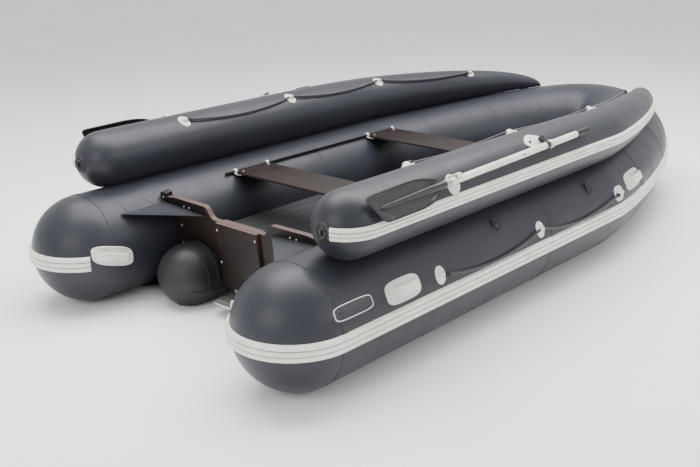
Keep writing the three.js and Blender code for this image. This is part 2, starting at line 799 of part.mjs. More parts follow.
addPair('main_tube', sideChamber(), finishes.pvc);
addPair('bow_tube', bowChamber(), finishes.pvc);
addPair('bulwark_tube', bulwarkTube(), finishes.pvc);
add('floor', floorSolid(), finishes.darkPvc);
addPair('sponson', sponsonSolid(), finishes.darkPvc);
addPair('bottom_panel', bottomPanel(), finishes.black);
add('tunnel_panel', tunnelPanel(), finishes.black);

add('transom', transomBoard(), finishes.plywood);
add('motor_pad', motorPad(), finishes.plywood);
add('clamp_pad', clampPad(), finishes.plywood);
addPair('transom_holder', transomHolder(), finishes.black);
add('tunnel_plate', tunnelPlate(), finishes.aluminium);
addPair('splash_gusset', gusset(), finishes.pvc);

add('main_strake', mainStrakeSolid(), finishes.strake);
addPair('bulwark_strake', bulwarkStrakeSolid(), finishes.strake);

addPair('bench_rail', railSolid(), finishes.black);
for (const [place, start] of [['aft', bench.aft], ['forward', bench.forward]]) {
  add(`bench_${place}`, benchBoard(start), finishes.plywood);
  addPair(`bench_${place}_slide`, slideSolid(start), finishes.white);
}

addPair('handle_aft_outer', handleSolid(347, rad(22.5)), finishes.white);
addPair('handle_forward_outer', handleSolid(2188, rad(25)), finishes.white);
addPair('handle_aft_inner', handleSolid(-24, rad(176), rad(6.4)), finishes.white);
addPair('side_valve_cap', valveCap(1020, rad(43)), finishes.black);
addPair('bow_valve_cap', valveCap(1777, rad(40)), finishes.black);
addPair('bulwark_plug', bulwarkPlug(), finishes.black);

addPair('oarlock_base', oarlockBase(), finishes.white);
addPair('oar_collar', oarCollar(), finishes.black);
addPair('oar_shaft', oarShaft(), finishes.shaft);
addPair('oar_grip', oarGrip(), finishes.black);
addPair('oar_blade', oarBlade(), finishes.blade);
addPair('oar_clip', oarClip(), finishes.white);

addPair('lifeline_main', lifeline(mainLine), finishes.rope);
addPair('lifeline_bulwark', lifeline(bulwarkLine), finishes.rope);

export default boat;
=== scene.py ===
"""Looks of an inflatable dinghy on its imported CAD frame: metres, +X to the bow, +Y to port, +Z up."""
from math import atan2, copysign, cos, exp, hypot, pi, radians as rad, sin, sqrt

import bmesh
import bpy
from mathutils import Matrix, Vector


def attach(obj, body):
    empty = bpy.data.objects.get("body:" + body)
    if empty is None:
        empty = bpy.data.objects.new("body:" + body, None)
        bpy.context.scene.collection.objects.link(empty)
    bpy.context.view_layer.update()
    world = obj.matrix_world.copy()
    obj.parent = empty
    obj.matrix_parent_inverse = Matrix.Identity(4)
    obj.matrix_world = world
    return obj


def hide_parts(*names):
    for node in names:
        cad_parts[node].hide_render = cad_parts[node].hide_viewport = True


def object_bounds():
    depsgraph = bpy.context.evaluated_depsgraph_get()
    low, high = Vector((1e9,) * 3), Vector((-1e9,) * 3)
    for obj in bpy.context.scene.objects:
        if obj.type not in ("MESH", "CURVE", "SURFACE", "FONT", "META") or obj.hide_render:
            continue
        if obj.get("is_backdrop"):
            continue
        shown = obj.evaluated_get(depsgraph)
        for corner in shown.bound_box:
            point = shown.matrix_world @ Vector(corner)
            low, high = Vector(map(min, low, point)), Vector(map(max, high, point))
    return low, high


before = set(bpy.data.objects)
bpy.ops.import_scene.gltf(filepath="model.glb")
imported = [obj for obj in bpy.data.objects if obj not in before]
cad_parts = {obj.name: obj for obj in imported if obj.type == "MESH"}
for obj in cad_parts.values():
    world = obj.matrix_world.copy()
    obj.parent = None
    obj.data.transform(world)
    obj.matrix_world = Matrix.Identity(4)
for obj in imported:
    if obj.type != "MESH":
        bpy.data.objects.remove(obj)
CAD_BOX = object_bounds()

SIDES = {"port": 1, "starboard": -1}
AHEAD, PORT, UP = Vector((1, 0, 0)), Vector((0, 1, 0)), Vector((0, 0, 1))

# Driving dimensions of the hull, as in the CAD. X runs from the aft tip until a piece is built.
MIDDLE = 1.968
TUBE = 0.25
OFFSET = 0.695
STRAIGHT = 2.25
SPLIT = 1.65
RISE, RISE_FROM, BOW_TIP = 0.072, 2.125, 3.686
BULWARK = {"radius": 0.136, "tip": 0.311, "lean": rad(14.1), "taper": 1.67, "end": 3.585, "sink": 0.008}
SPONSON = {"radius": 0.146, "tip": 0.375, "y": 0.295, "z": 0.130, "low": 0.004, "wide": 0.14, "high": 0.098,
           "taper": 2.16, "end": 2.88}
TRANSOM_FOOT, RAKE = 0.616, rad(5.2)
OARLOCK_X, OARLOCK_AXIS, OARLOCK_HEIGHT = 1.595, rad(49), 0.156
OAR_OFFSET, OAR_TILT, SHAFT = 0.037, rad(1), 0.015


def placed(name, data):
    made = bpy.data.objects.new(name, data)
    bpy.context.scene.collection.objects.link(made)
    return made


def mm(*points):
    """Points drawn in millimetres, in metres."""
    return [tuple(value / 1000 for value in point) for point in points]


# ---- Camera ----

def add_camera():
    yaw, pitch, roll = rad(43.225), rad(-18.79), rad(-1.459)
    forward = Vector((cos(pitch) * cos(yaw), cos(pitch) * sin(yaw), sin(pitch)))
    level = Vector((sin(yaw), -cos(yaw), 0))
    above = level.cross(forward)
    right = level * cos(roll) + above * sin(roll)
    up = above * cos(roll) - level * sin(roll)
    lens = bpy.data.cameras.new("camera")
    lens.lens = 50.16
    lens.sensor_width = 36
    camera = placed("camera", lens)
    turn = Matrix((right, up, -forward)).transposed().to_4x4()
    camera.matrix_world = Matrix.Translation((-4.0087, -3.1364, 1.7425)) @ turn
    bpy.context.scene.camera = camera


# ---- Materials ----

def srgb(code):
    values = [int(code[i:i + 2], 16) / 255 for i in (0, 2, 4)]
    linear = [v / 12.92 if v <= 0.04045 else ((v + 0.055) / 1.055) ** 2.4 for v in values]
    return (*linear, 1)


class Finish:
    """A Principled material whose nodes are built step by step."""

    def __init__(self, name, metallic=0.0, coat=0.0, sheen=0.0, gloss=0.5):
        self.material = bpy.data.materials.new(name)
        self.material.use_nodes = True
        self.tree = self.material.node_tree
        self.shader = self.tree.nodes["Principled BSDF"]
        constants = {"Metallic": metallic, "Coat Weight": coat, "Coat Roughness": 0.2, "Sheen Weight": sheen,
                     "Specular IOR Level": gloss}
        for socket, value in constants.items():
            self.shader.inputs[socket].default_value = value
        self.coordinates = self.tree.nodes.new("ShaderNodeTexCoord").outputs["Object"]
        self.relief = None

    def node(self, kind, **settings):
        made = self.tree.nodes.new(kind)
        for key, value in settings.items():
            if hasattr(made, key):
                setattr(made, key, value)
            else:
                self.put(made.inputs[key.replace("_", " ")], value)
        return made

    def put(self, socket, value):
        if isinstance(value, bpy.types.NodeSocket):
            self.tree.links.new(value, socket)
        else:
            socket.default_value = value

    def noise(self, scale, detail=3.0, stretch=(1, 1, 1)):
        mapping = self.node("ShaderNodeMapping", Vector=self.coordinates)
        mapping.inputs["Scale"].default_value = stretch
        made = self.node("ShaderNodeTexNoise", Vector=mapping.outputs[0], Scale=scale, Detail=detail)
        return made.outputs["Fac"]

    def waves(self, scale, axis, distortion=0.0):
        made = self.node("ShaderNodeTexWave", Vector=self.coordinates, Scale=scale, Distortion=distortion)
        made.bands_direction = axis
        return made.outputs["Fac"]

    def ramp(self, value, low, high, out=(0.0, 1.0)):
        made = self.node("ShaderNodeMapRange", Value=value, From_Min=low, From_Max=high, To_Min=out[0],
                         To_Max=out[1])
        return made.outputs["Result"]

    def mix(self, factor, first, second):
        made = self.tree.nodes.new("ShaderNodeMix")
        made.data_type = "RGBA"
        self.put(made.inputs[0], factor)
        self.put(made.inputs[6], first)
        self.put(made.inputs[7], second)
        return made.outputs[2]

    def blend(self, value, low, high, dark, light):
        """A colour that goes from dark to light while the value goes from low to high."""
        return self.mix(self.ramp(value, low, high), srgb(dark), srgb(light))

    def bump(self, height, strength, distance):
        """Lays one more relief over those before it."""
        made = self.node("ShaderNodeBump", Strength=strength, Distance=distance, Height=height)
        if self.relief is not None:
            self.put(made.inputs["Normal"], self.relief)
        self.relief = made.outputs[0]
        self.put(self.shader.inputs["Normal"], self.relief)

    def colour(self, socket):
        self.put(self.shader.inputs["Base Color"], socket)

    def rough(self, value, limits, low=0.3, high=0.7):
        self.put(self.shader.inputs["Roughness"], self.ramp(value, low, high, limits))


def coated_fabric(name, dark, light, rough):
    """Coated boat fabric: broad shade changes, a fine woven grain under the coat and dull scuffs."""
    finish = Finish(name, sheen=0.03, gloss=0.34)
    base = finish.blend(finish.noise(2.3), 0.35, 0.65, dark, light)
    scuffs = finish.ramp(finish.noise(34, 6, (0.35, 1, 1)), 0.60, 0.74, (0.0, 0.035))
    finish.colour(finish.mix(scuffs, base, srgb("6c6d72")))
    finish.rough(finish.noise(11, 5), rough)
    finish.bump(finish.noise(5.5, 2), 0.35, 0.004)
    for axis in "XZ":
        finish.bump(finish.waves(260, axis), 0.10, 0.0002)
    finish.bump(finish.noise(950, 2), 0.15, 0.0003)
    return finish.material


def moulded(name, dark, light, rough, grain=700, spots=None, coat=0.0):
    """A moulded or painted surface: soft shade changes, fine grain and a few marks."""
    finish = Finish(name, coat=coat)
    shade = finish.blend(finish.noise(9, 4), 0.3, 0.7, dark, light)
    if spots:
        marks = finish.ramp(finish.noise(46, 7, (0.3, 1, 1)), 0.58, 0.72, (0.0, 0.5))
        shade = finish.mix(marks, shade, srgb(spots))
    finish.colour(shade)
    finish.rough(finish.noise(22, 4), rough)
    finish.bump(finish.noise(grain, 3), 0.3, 0.0003)
    return finish.material


def film_faced(name, dark, light, rough, mesh_scale):
    """Phenolic film on plywood, pressed with a fine wire mesh, over a faint wood figure."""
    finish = Finish(name, gloss=0.3)
    shade = finish.blend(finish.noise(14, 6, (1, 0.18, 1)), 0.32, 0.7, dark, light)
    wear = finish.ramp(finish.noise(60, 8), 0.60, 0.75, (0.0, 0.35))
    finish.colour(finish.mix(wear, shade, srgb("43302b")))
    finish.rough(finish.noise(8, 5), rough)
    for axis in "XY":
        finish.bump(finish.waves(mesh_scale, axis), 0.22, 0.0003)
    finish.bump(finish.noise(420, 3), 0.15, 0.0003)
    return finish.material


def ply_edge(name, dark, light):
    """A sawn edge: thin layers of veneer with end grain between them."""
    finish = Finish(name)
    layers = finish.waves(240, "X", 0.6)
    grain = finish.ramp(finish.noise(190, 5, (1, 0.2, 1)), 0.35, 0.7)
    shade = finish.blend(layers, 0.2, 0.8, dark, light)
    finish.colour(finish.mix(finish.ramp(grain, 0, 1, (0.0, 0.4)), shade, srgb(dark)))
    finish.rough(grain, (0.55, 0.8), 0, 1)
    finish.bump(layers, 0.2, 0.0003)
    finish.bump(finish.noise(600, 4), 0.3, 0.0004)
    return finish.material


def brushed_metal(name, dark, light):
    finish = Finish(name, metallic=1.0)
    lines = finish.noise(260, 4, (1, 0.03, 1))
    finish.colour(finish.blend(lines, 0.3, 0.7, dark, light))
    finish.rough(lines, (0.28, 0.5))
    finish.bump(lines, 0.15, 0.0002)
    return finish.material


def braid(name):
    finish = Finish(name, sheen=0.3)
    fibres = finish.noise(900, 4, (1, 1, 0.4))
    finish.colour(finish.blend(fibres, 0.3, 0.7, "0f1012", "26272b"))
    finish.rough(fibres, (0.6, 0.9))
    finish.bump(fibres, 0.5, 0.0006)
    finish.bump(finish.noise(2200, 2), 0.3, 0.0002)
    return finish.material


LOOKS = {
    "fabric": coated_fabric("tube_fabric", "22242b", "282a32", (0.36, 0.46)),
    "inner": coated_fabric("inner_fabric", "1d1e21", "232427", (0.42, 0.54)),
    "tape": coated_fabric("tape_fabric", "202229", "272931", (0.38, 0.48)),
    "strake": moulded("strake_rubber", "d9d5cb", "ebe8e0", (0.35, 0.5), 500, "a8a49a"),
    "groove": moulded("strake_groove", "2c2d30", "3a3b3e", (0.5, 0.65), 600),
    "white": moulded("white_plastic", "cfccc3", "e3e0d8", (0.32, 0.46), 800, "aaa69d"),
    "rubber": moulded("black_rubber", "101113", "1a1b1d", (0.5, 0.66), 900, "2c2d2f"),
    "plastic": moulded("black_plastic", "0e0f11", "18191b", (0.36, 0.5), 1300, "2a2b2d"),
    "blade": moulded("blade_plastic", "141517", "1c1d20", (0.34, 0.46), 900, "3c3d40"),
    "shaft": moulded("painted_shaft", "dcd5c7", "eee9de", (0.22, 0.36), 300, "b5ad9c", coat=0.4),
    "face": film_faced("film_faced_ply", "140b0a", "1e1210", (0.38, 0.52), 130),
    "dark_edge": ply_edge("ply_edge_sealed", "1e1210", "32221d"),
    "light_edge": ply_edge("ply_edge_bare", "42302b", "5f4840"),
    "metal": brushed_metal("brushed_aluminium", "a9abae", "d6d7d9"),
    "steel": brushed_metal("steel_heads", "8d8f92", "c4c5c7"),
    "rope": braid("rope_braid"),
    "badge": moulded("badge_panel", "212227", "27282e", (0.3, 0.42), 900),
}

# The material slot name for a piece's first look; build looks it up, but nothing gives it to the piece.
SLOTS = {"fabric": "tube_fabric", "tape": "tube_fabric", "inner": "inner_fabric", "strake": "strake_rubber",
         "white": "white_plastic", "rubber": "black_rubber", "plastic": "black_plastic", "blade": "oar_blade",
         "shaft": "oar_shaft", "face": "plywood", "metal": "aluminium_plate", "steel": "aluminium_plate",
         "rope": "rope"}


# ---- Shapes ----

class Shape:
    """Points, faces and each face's material number, gathered before they become one piece."""

    def __init__(self):
        self.points = []
        self.faces = []
        self.slots = []

    def add(self, points):
        start = len(self.points)
        self.points.extend(Vector(point) for point in points)
        return start

    def face(self, corners, slot=0):
        self.faces.append(list(corners))
        self.slots.append(slot)

    def loft(self, rings, start=None, end=None, slot=lambda k, i: 0, wrap=True, caps=(0, -1)):
        """Joins equal rings; a fan closes the end rings in caps, to a pole or to the ring's middle."""
        count = len(rings[0])
        first = self.add(point for ring in rings for point in ring)
        for k in range(len(rings) - 1):
            for i in range(count if wrap else count - 1):
                a, b = first + k * count + i, first + k * count + (i + 1) % count
                self.face((a, b, b + count, a + count), slot(k, i))
        for end_ring, pole in ((0, start), (-1, end)):
            if end_ring not in caps:
                continue
            tip = self.add([pole if pole is not None else sum(rings[end_ring], Vector()) / count])
            k = end_ring % len(rings)
            base = first + k * count
            for i in range(count):
                self.face((base + i, base + (i + 1) % count, tip), slot(min(k, len(rings) - 2), i))
        return self

    def prism(self, outline, near, far, place, slots=(0, 1)):
        """An outline closed between two depths; place(u, v, depth) gives a point."""
        count = len(outline)
        first = self.add(place(u, v, near) for u, v in outline)
        self.add(place(u, v, far) for u, v in outline)
        self.face(range(first, first + count), slots[0])
        self.face(range(first + count, first + 2 * count), slots[0])
        for i in range(count):
            j = (i + 1) % count
            self.face((first + i, first + j, first + count + j, first + count + i), slots[1])
        return self

    def lathe(self, profile, foot, direction, sides=40, caps=(0, -1)):
        """Turns a profile of (radius, height) about an axis through foot."""
        turn = UP.rotation_difference(direction)
        rings = [[foot + turn @ Vector((radius * cos(a), radius * sin(a), height))
                  for a in full_turn(sides)] for radius, height in profile]
        poles = [foot + turn @ Vector((0, 0, profile[end][1])) for end in (0, -1)]
        return self.loft(rings, *poles, caps=caps)


def full_turn(count):
    return [2 * pi * i / count for i in range(count)]


def spaced(low, high, count):
    return [low + (high - low) * i / (count - 1) for i in range(count)]


def signed_power(value, power):
    return copysign(abs(value) ** power, value)


def squircle(count, power):
    """Points round a unit shape: a circle at power 1, and squarer below it."""
    return [(signed_power(cos(a), power), signed_power(sin(a), power)) for a in full_turn(count)]


def smooth(value):
    value = max(0.0, min(1.0, value))
    return value * value * (3 - 2 * value)


def in_frame(point, side):
    """A point that was measured from the aft tip, in the row frame and on its own side."""
    return Vector((point.x - MIDDLE, point.y * SIDES[side], point.z))


def build(name, shape, looks, side="port", body="hull", node=None, slot=None, bevel=None, sharp=40):
    """Makes a piece in the row frame, mirrored for starboard, and rides it on its body."""
    looks = [looks] if isinstance(looks, str) else looks
    mesh = bpy.data.meshes.new(name)
    mesh.from_pydata([in_frame(point, side) for point in shape.points], [], shape.faces)
    for look in looks:
        mesh.materials.append(LOOKS[look])
    mesh.polygons.foreach_set("material_index", shape.slots)
    return finished(name, mesh, body, node, slot or SLOTS[looks[0]], bevel, sharp)


def finished(name, mesh, body, node, slot, bevel, sharp):
    work = bmesh.new()
    work.from_mesh(mesh)
    bmesh.ops.remove_doubles(work, verts=work.verts, dist=1e-6)
    bmesh.ops.recalc_face_normals(work, faces=work.faces)
    work.to_mesh(mesh)
    work.free()
    mesh.shade_smooth()
    mesh.set_sharp_from_angle(angle=rad(sharp))
    piece = placed(name, mesh)
    if bevel:
        edge = piece.modifiers.new("bevel", "BEVEL")
        edge.width = bevel
        edge.segments = 2
        edge.limit_method = "ANGLE"
        edge.angle_limit = rad(35)
        edge.harden_normals = True
    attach(piece, body)
    if node:
        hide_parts(node)
    return piece


def carried(node, look, bevel):
    """A CAD node of the hull whose shape is right, copied so that its edges can be softened."""
    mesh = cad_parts[node].data.copy()
    mesh.materials.clear()
    mesh.materials.append(LOOKS[look])
    mesh.polygons.foreach_set("material_index", [0] * len(mesh.polygons))
    return finished(f"{node}_soft", mesh, "hull", node, SLOTS[look], bevel, 30)


def repainted(node, look):
    """A CAD node that stays, in a better material."""
    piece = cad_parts[node]
    piece.material_slots[0].link = "OBJECT"
    piece.material_slots[0].material = LOOKS[look]


# ---- Surfaces of the tubes, as in the CAD ----

BOW_POINTS = [Vector((STRAIGHT, OFFSET)), Vector((STRAIGHT + 0.05, OFFSET)), Vector((BOW_TIP, 0.49)),
              Vector((BOW_TIP, 0))]


def bow_curve(t):
    s = 1 - t
    a, b, c, d = BOW_POINTS
    return a * s ** 3 + b * 3 * s * s * t + c * 3 * s * t * t + d * t ** 3


def bow_tangent(t):
    s = 1 - t
    a, b, c, d = BOW_POINTS
    return ((b - a) * s * s + (c - b) * 2 * s * t + (d - c) * t * t).normalized()


BOW_STEPS = 400
BOW_LENGTHS = [0.0]
for step in range(BOW_STEPS):
    chord = bow_curve((step + 1) / BOW_STEPS) - bow_curve(step / BOW_STEPS)
    BOW_LENGTHS.append(BOW_LENGTHS[-1] + chord.length)
STEM = STRAIGHT + BOW_LENGTHS[-1]


def bow_parameter(length):
    for i in range(BOW_STEPS):
        if BOW_LENGTHS[i + 1] >= length:
            share = (length - BOW_LENGTHS[i]) / (BOW_LENGTHS[i + 1] - BOW_LENGTHS[i])
            return (i + share) / BOW_STEPS
    return 1.0


def rise_at(x):
    share = max(0.0, (x - RISE_FROM) / (BOW_TIP - RISE_FROM))
    return RISE * share * share


def station(distance):
    """Centre and outward direction of the port main tube, along its middle line."""
    if distance <= STRAIGHT:
        return Vector((distance, OFFSET, TUBE + rise_at(distance))), PORT
    t = bow_parameter(distance - STRAIGHT)
    point, tangent = bow_curve(t), bow_tangent(t)
    return Vector((point.x, point.y, TUBE + rise_at(point.x))), Vector((-tangent.y, tangent.x, 0))


def around(centre, outward, angle, radius):
    return centre + outward * (radius * cos(angle)) + UP * (radius * sin(angle))


def bulwark_station(distance):
    centre, outward = station(distance)
    share = max(0.0, (distance - BULWARK["taper"]) / (BULWARK["end"] - BULWARK["taper"]))
    radius = BULWARK["radius"] * sqrt(max(0.0, 1 - share * share))
    reach = TUBE + radius * (1 - BULWARK["sink"] / BULWARK["radius"])
    return around(centre, outward, pi / 2 - BULWARK["lean"], reach), outward, radius


def off_main_tube(point, distance):
    """Keeps a bulwark's point off the main tube, where the two press flat on each other."""
    centre, outward = station(distance)
    away = point - centre
    across, height = away.dot(outward), away.z
    least = TUBE + 0.0012
    if hypot(across, height) >= least:
        return point
    return around(centre, outward, atan2(height, across), least)


def main_skin(run, angle, lift):
    """A point on the main tube's skin; run starts where the aft dome ends, negative on the dome."""
    if run >= 0:
        centre, outward = station(run + TUBE)
        return around(centre, outward, angle, TUBE + lift)
    turn = pi / 2 + run / TUBE
    reach = (TUBE + lift) * sin(turn)
    centre = Vector((TUBE - (TUBE + lift) * cos(turn), OFFSET, TUBE))
    return around(centre, PORT, angle, reach)


def bulwark_skin(run, angle, lift):
    centre, outward, radius = bulwark_station(run)
    return around(centre, outward, angle, radius + lift)


def skin_normal(skin, run, angle):
    return (skin(run, angle, 0.01) - skin(run, angle, 0)).normalized()


# ---- Air tubes ----

AROUND = 72


def pucker(x, seam, angle, folds):
    """How much a skin pulls in beside a seam that goes round it, in metres."""
    near = exp(-((x - seam) / 0.022) ** 2)
    return 0.0016 * near * (0.45 + 0.55 * sin(folds * angle) * sin(0.37 * folds * angle))


def dome_rings(tip, radius, y, z, steps=22, folds=61):
    rings = []
    for step in range(1, steps + 1):
        turn = pi / 2 * step / steps
        x = tip + radius * (1 - cos(turn))
        centre = Vector((x, y, z))
        rings.append([around(centre, PORT, a,
                             radius * sin(turn) - pucker(x, tip + radius, a, folds))
                      for a in full_turn(AROUND)])
    return rings


def main_rings(distances, seams):
    rings = []
    for distance in distances:
        centre, outward = station(distance)
        rings.append([around(centre, outward, a, TUBE - sum(pucker(distance, s, a, 61) for s in seams))
                      for a in full_turn(AROUND)])
    return rings


def add_main_tubes(side):
    shape = Shape()
    rings = dome_rings(0, TUBE, OFFSET, TUBE)
    rings += main_rings([0.257, 0.265, 0.275, 0.29, 0.32], [TUBE])
    rings += main_rings(spaced(0.4, SPLIT, 26), [SPLIT])
    shape.loft(rings, Vector((0, OFFSET, TUBE)))
    build(f"side_chamber_{side}", shape, "fabric", side, node=f"main_tube_{side}")
    shape = Shape()
    rings = main_rings(spaced(SPLIT, STRAIGHT, 12)[:-1] + spaced(STRAIGHT, STEM, 64), [SPLIT])
    for point in rings[-1]:
        point.y = 0
    shape.loft(rings)
    build(f"bow_chamber_{side}", shape, "fabric", side, node=f"bow_tube_{side}")


def add_bulwark_tube(side):
    radius, tip = BULWARK["radius"], BULWARK["tip"]
    centre, _, _ = bulwark_station(tip + radius)
    rings = [[off_main_tube(point, point.x) for point in ring]
             for ring in dome_rings(tip, radius, centre.y, centre.z, 18, 47)]
    straight = spaced(tip + radius + 0.012, BULWARK["taper"], 22)
    taper = [BULWARK["taper"] + (BULWARK["end"] - BULWARK["taper"]) * sin(pi / 2 * i / 48)
             for i in range(1, 47)]
    for distance in straight + taper:
        spot, outward, local = bulwark_station(distance)
        seam = tip + radius
        rings.append([off_main_tube(around(spot, outward, a, local - pucker(distance, seam, a, 47)), distance)
                      for a in full_turn(AROUND)])
    end, outward, _ = bulwark_station(BULWARK["end"])
    last = off_main_tube(around(end, outward, pi / 2, 0.003), BULWARK["end"])
    shape = Shape().loft(rings, Vector((tip, centre.y, centre.z)), last)
    build(f"bulwark_{side}", shape, "fabric", side, node=f"bulwark_tube_{side}")


def band(shape, point_at, low, high, lift=0.0011):
    """A tape glued round a skin: point_at(run, angle, lift) gives its points."""
    rings = []
    for run, height in ((low, -0.0004), (low + 0.0012, lift), (high - 0.0012, lift), (high, -0.0004)):
        rings.append([point_at(run, a, height) for a in full_turn(AROUND)])
    shape.loft(rings, caps=())


def add_seam_tapes(side):
    shape = Shape()
    for run in (-0.004, SPLIT - TUBE - 0.02, 2.31, 2.83, 3.2):
        band(shape, main_skin, run, run + (0.026 if run < 0 else 0.04))
    build(f"seam_tapes_{side}", shape, "tape", side)


# ---- Rubbing strakes ----

def rib_profile(half, thickness):
    """(height, lift) across a strake from its lower edge up: three round ribs, with a groove each side
    of the middle one. The second list says which gaps between points are groove."""
    floor = 0.42 * thickness
    pitch = 2 * half / 3
    points, grooves = [(-half - 0.003, -0.0004)], []
    for rib in (-1, 0, 1):
        for step in range(9):
            turn = pi * step / 8
            height = rib * pitch - cos(turn) * pitch * 0.43
            points.append((height, floor + (thickness - floor) * sin(turn) ** 0.55))
        grooves.append(len(points) - 1)
    points.append((half + 0.003, -0.0004))
    return points, grooves[:2]


def strake_ring(profile, centre, heading, radius, thin=1.0):
    ring = []
    for height, lift in profile:
        slope = height / radius
        reach = radius + lift * thin
        ring.append(centre + heading * (reach * cos(slope)) + UP * (reach * sin(slope)))
    return ring


def heading_at(turn):
    return Vector((-sin(turn), cos(turn), 0))


def add_strake(name, node, spots, half, thickness, side="port"):
    """spots lists (centre, heading, radius, thinning) along the strake."""
    profile, grooves = rib_profile(half, thickness)
    rings = [strake_ring(profile, *spot) for spot in spots]
    shape = Shape().loft(rings, slot=lambda k, i: 1 if i in grooves else 0)
    build(name, shape, ["strake", "groove"], side, node=node, sharp=60)


END_THINNING = (0.25, 0.6, 0.85, 0.97)


def thinned(spots):
    """Rounds the start of a strake off over its first few spots."""
    return [(*spot, END_THINNING[k] if k < len(END_THINNING) else 1.0) for k, spot in enumerate(spots)]


def main_strake_spots():
    dome = Vector((TUBE, OFFSET, TUBE))
    inner = rad(150)
    turns = [inner - rad(0.8) * k for k in range(5)] + spaced(inner - rad(8), 0, 44)
    spots = [(dome, heading_at(turn), TUBE) for turn in turns]
    for distance in spaced(0.35, STRAIGHT, 24) + spaced(STRAIGHT, STEM, 70)[1:]:
        centre, outward = station(distance)
        spots.append((centre, outward, TUBE))
    port = thinned(spots)
    flip = Vector((1, -1, 1))
    starboard = [(centre * flip, heading * flip, radius, thin) for centre, heading, radius, thin in port[:-1]]
    return port + starboard[::-1]


def bulwark_strake_spots():
    centre, _, _ = bulwark_station(BULWARK["tip"] + BULWARK["radius"])
    turns = [rad(76) - rad(1) * k for k in range(5)] + spaced(rad(68), 0, 24)
    spots = [(centre, heading_at(turn), BULWARK["radius"]) for turn in turns]
    length = BULWARK["end"] - BULWARK["taper"]
    taper = [BULWARK["taper"] + length * sin(pi / 2 * i / 40) for i in range(37)]
    for distance in spaced(0.5, BULWARK["taper"] - 0.02, 20) + taper:
        spots.append(bulwark_station(distance))
    return thinned(spots)


# ---- Bottom ----

def add_floor():
    """The inflated floor: its top is drawn down in shallow channels along the boat."""
    low, top = 0.205, 0.262
    distances = [0.7] + spaced(0.9, STRAIGHT, 12) + spaced(STRAIGHT, STEM, 40)[1:-2]
    edges = [Vector((0.658, OFFSET - TUBE - 0.002, 0))]
    for distance in distances:
        centre, outward = station(distance)
        edges.append(centre - outward * (TUBE + 0.002))
    rings = []
    for edge in edges:
        lift = rise_at(edge.x)
        ring = []
        for share in spaced(-1, 1, 121):
            y = edge.y * share
            channel = max(0.0, cos(2 * pi * y / 0.078)) ** 14
            shoulder = 0.010 * abs(share) ** 24
            ring.append(Vector((edge.x, y, top - 0.0035 * channel - shoulder + lift)))
        ring += [Vector((edge.x, edge.y, low + lift)), Vector((edge.x, -edge.y, low + lift))]
        rings.append(ring)
    shape = Shape().loft(rings)
    build("inflated_floor", shape, "inner", node="floor", sharp=50)


def sponson_sections():
    """(x, half width, half height, height of the middle) of a sponson from its ball to its fore tip."""
    radius, middle, low, wide, high = (SPONSON[key] for key in ("radius", "z", "low", "wide", "high"))
    board_aft, board_past = 0.586, 0.654
    sections = [(x, radius, radius, middle) for x in (0.545, 0.565, board_aft)]
    for step in range(1, 9):
        share = step / 8
        sections.append((board_aft + (board_past - board_aft) * share, radius + (wide - radius) * share,
                         radius + (high - radius) * share, middle + (low + high - middle) * share))
    sections += [(x, wide, high, low + high) for x in spaced(0.8, 2.1, 9)]
    for step in range(16):
        turn = pi / 2 * step / 16
        sections.append((SPONSON["taper"] + (SPONSON["end"] - SPONSON["taper"]) * sin(turn),
                         wide * cos(turn), high * cos(turn), low + high * cos(turn)))
    return sections


def standing(point):
    """Keeps a sponson's point up on the ground that the boat stands on."""
    point.z = max(SPONSON["low"], point.z)
    return point


def add_sponson(side):
    """Its round end is pressed flat where the boat stands on it."""
    radius, y, z, tip = (SPONSON[key] for key in ("radius", "y", "z", "tip"))
    rings = dome_rings(tip, radius, y, z, 22, 31)
    for x, wide, high, middle in sponson_sections():
        centre = Vector((x, y, middle + rise_at(x)))
        rings.append([centre + Vector((0, wide * cos(a), high * sin(a))) for a in full_turn(AROUND)])
    rings = [[standing(point) for point in ring] for ring in rings]
    shape = Shape()
    end = SPONSON["end"]
    shape.loft(rings, Vector((tip, y, z)), Vector((end, y, SPONSON["low"] + 0.006 + rise_at(end))))
    build(f"sponson_skin_{side}", shape, "inner", side, node=f"sponson_{side}")

    def ball(run, angle, lift):
        """Run is measured from the ball's middle, negative towards its tip."""
        if run >= 0:
            spot, reach = Vector((tip + radius + run, y, z)), radius + lift
        else:
            turn = pi / 2 + run / radius
            spot = Vector((tip + radius - (radius + lift) * cos(turn), y, z))
            reach = (radius + lift) * sin(turn)
        point = around(spot, PORT, angle, reach)
        point.z = max(SPONSON["low"] - lift, point.z)
        return point

    rims = Shape()
    band(rims, ball, -0.006, 0.012, 0.0026)
    band(rims, ball, 0.048, 0.064, 0.0022)
    build(f"sponson_rims_{side}", rims, "inner", side)

    skirt = Shape()
    angles = spaced(rad(198), rad(342), 61)
    aft_edge, fore_edge, notch = -0.105, 0.062, 0.016
    rows = []
    for share in spaced(0, 1, 9):
        row = []
        for k, angle in enumerate(angles):
            start = aft_edge + notch * ((k // 6) % 2)
            row.append(ball(start + (fore_edge - start) * share, angle, 0.0028 if share else 0.0002))
        rows.append(row)
    skirt.loft(rows, wrap=False, caps=())
    build(f"sponson_skirt_{side}", skirt, "rubber", side)


# ---- Transom ----

def raked(u, v, depth):
    """A point drawn in (y, z) on the transom's own plane, with its depth forward."""
    x = depth * cos(RAKE) - v * sin(RAKE)
    z = depth * sin(RAKE) + v * cos(RAKE)
    return Vector((TRANSOM_FOOT + x, u, z))


def arc(y, z, radius, first, last, count):
    return [(y + radius * cos(rad(a)), z + radius * sin(rad(a))) for a in spaced(first, last, count)]


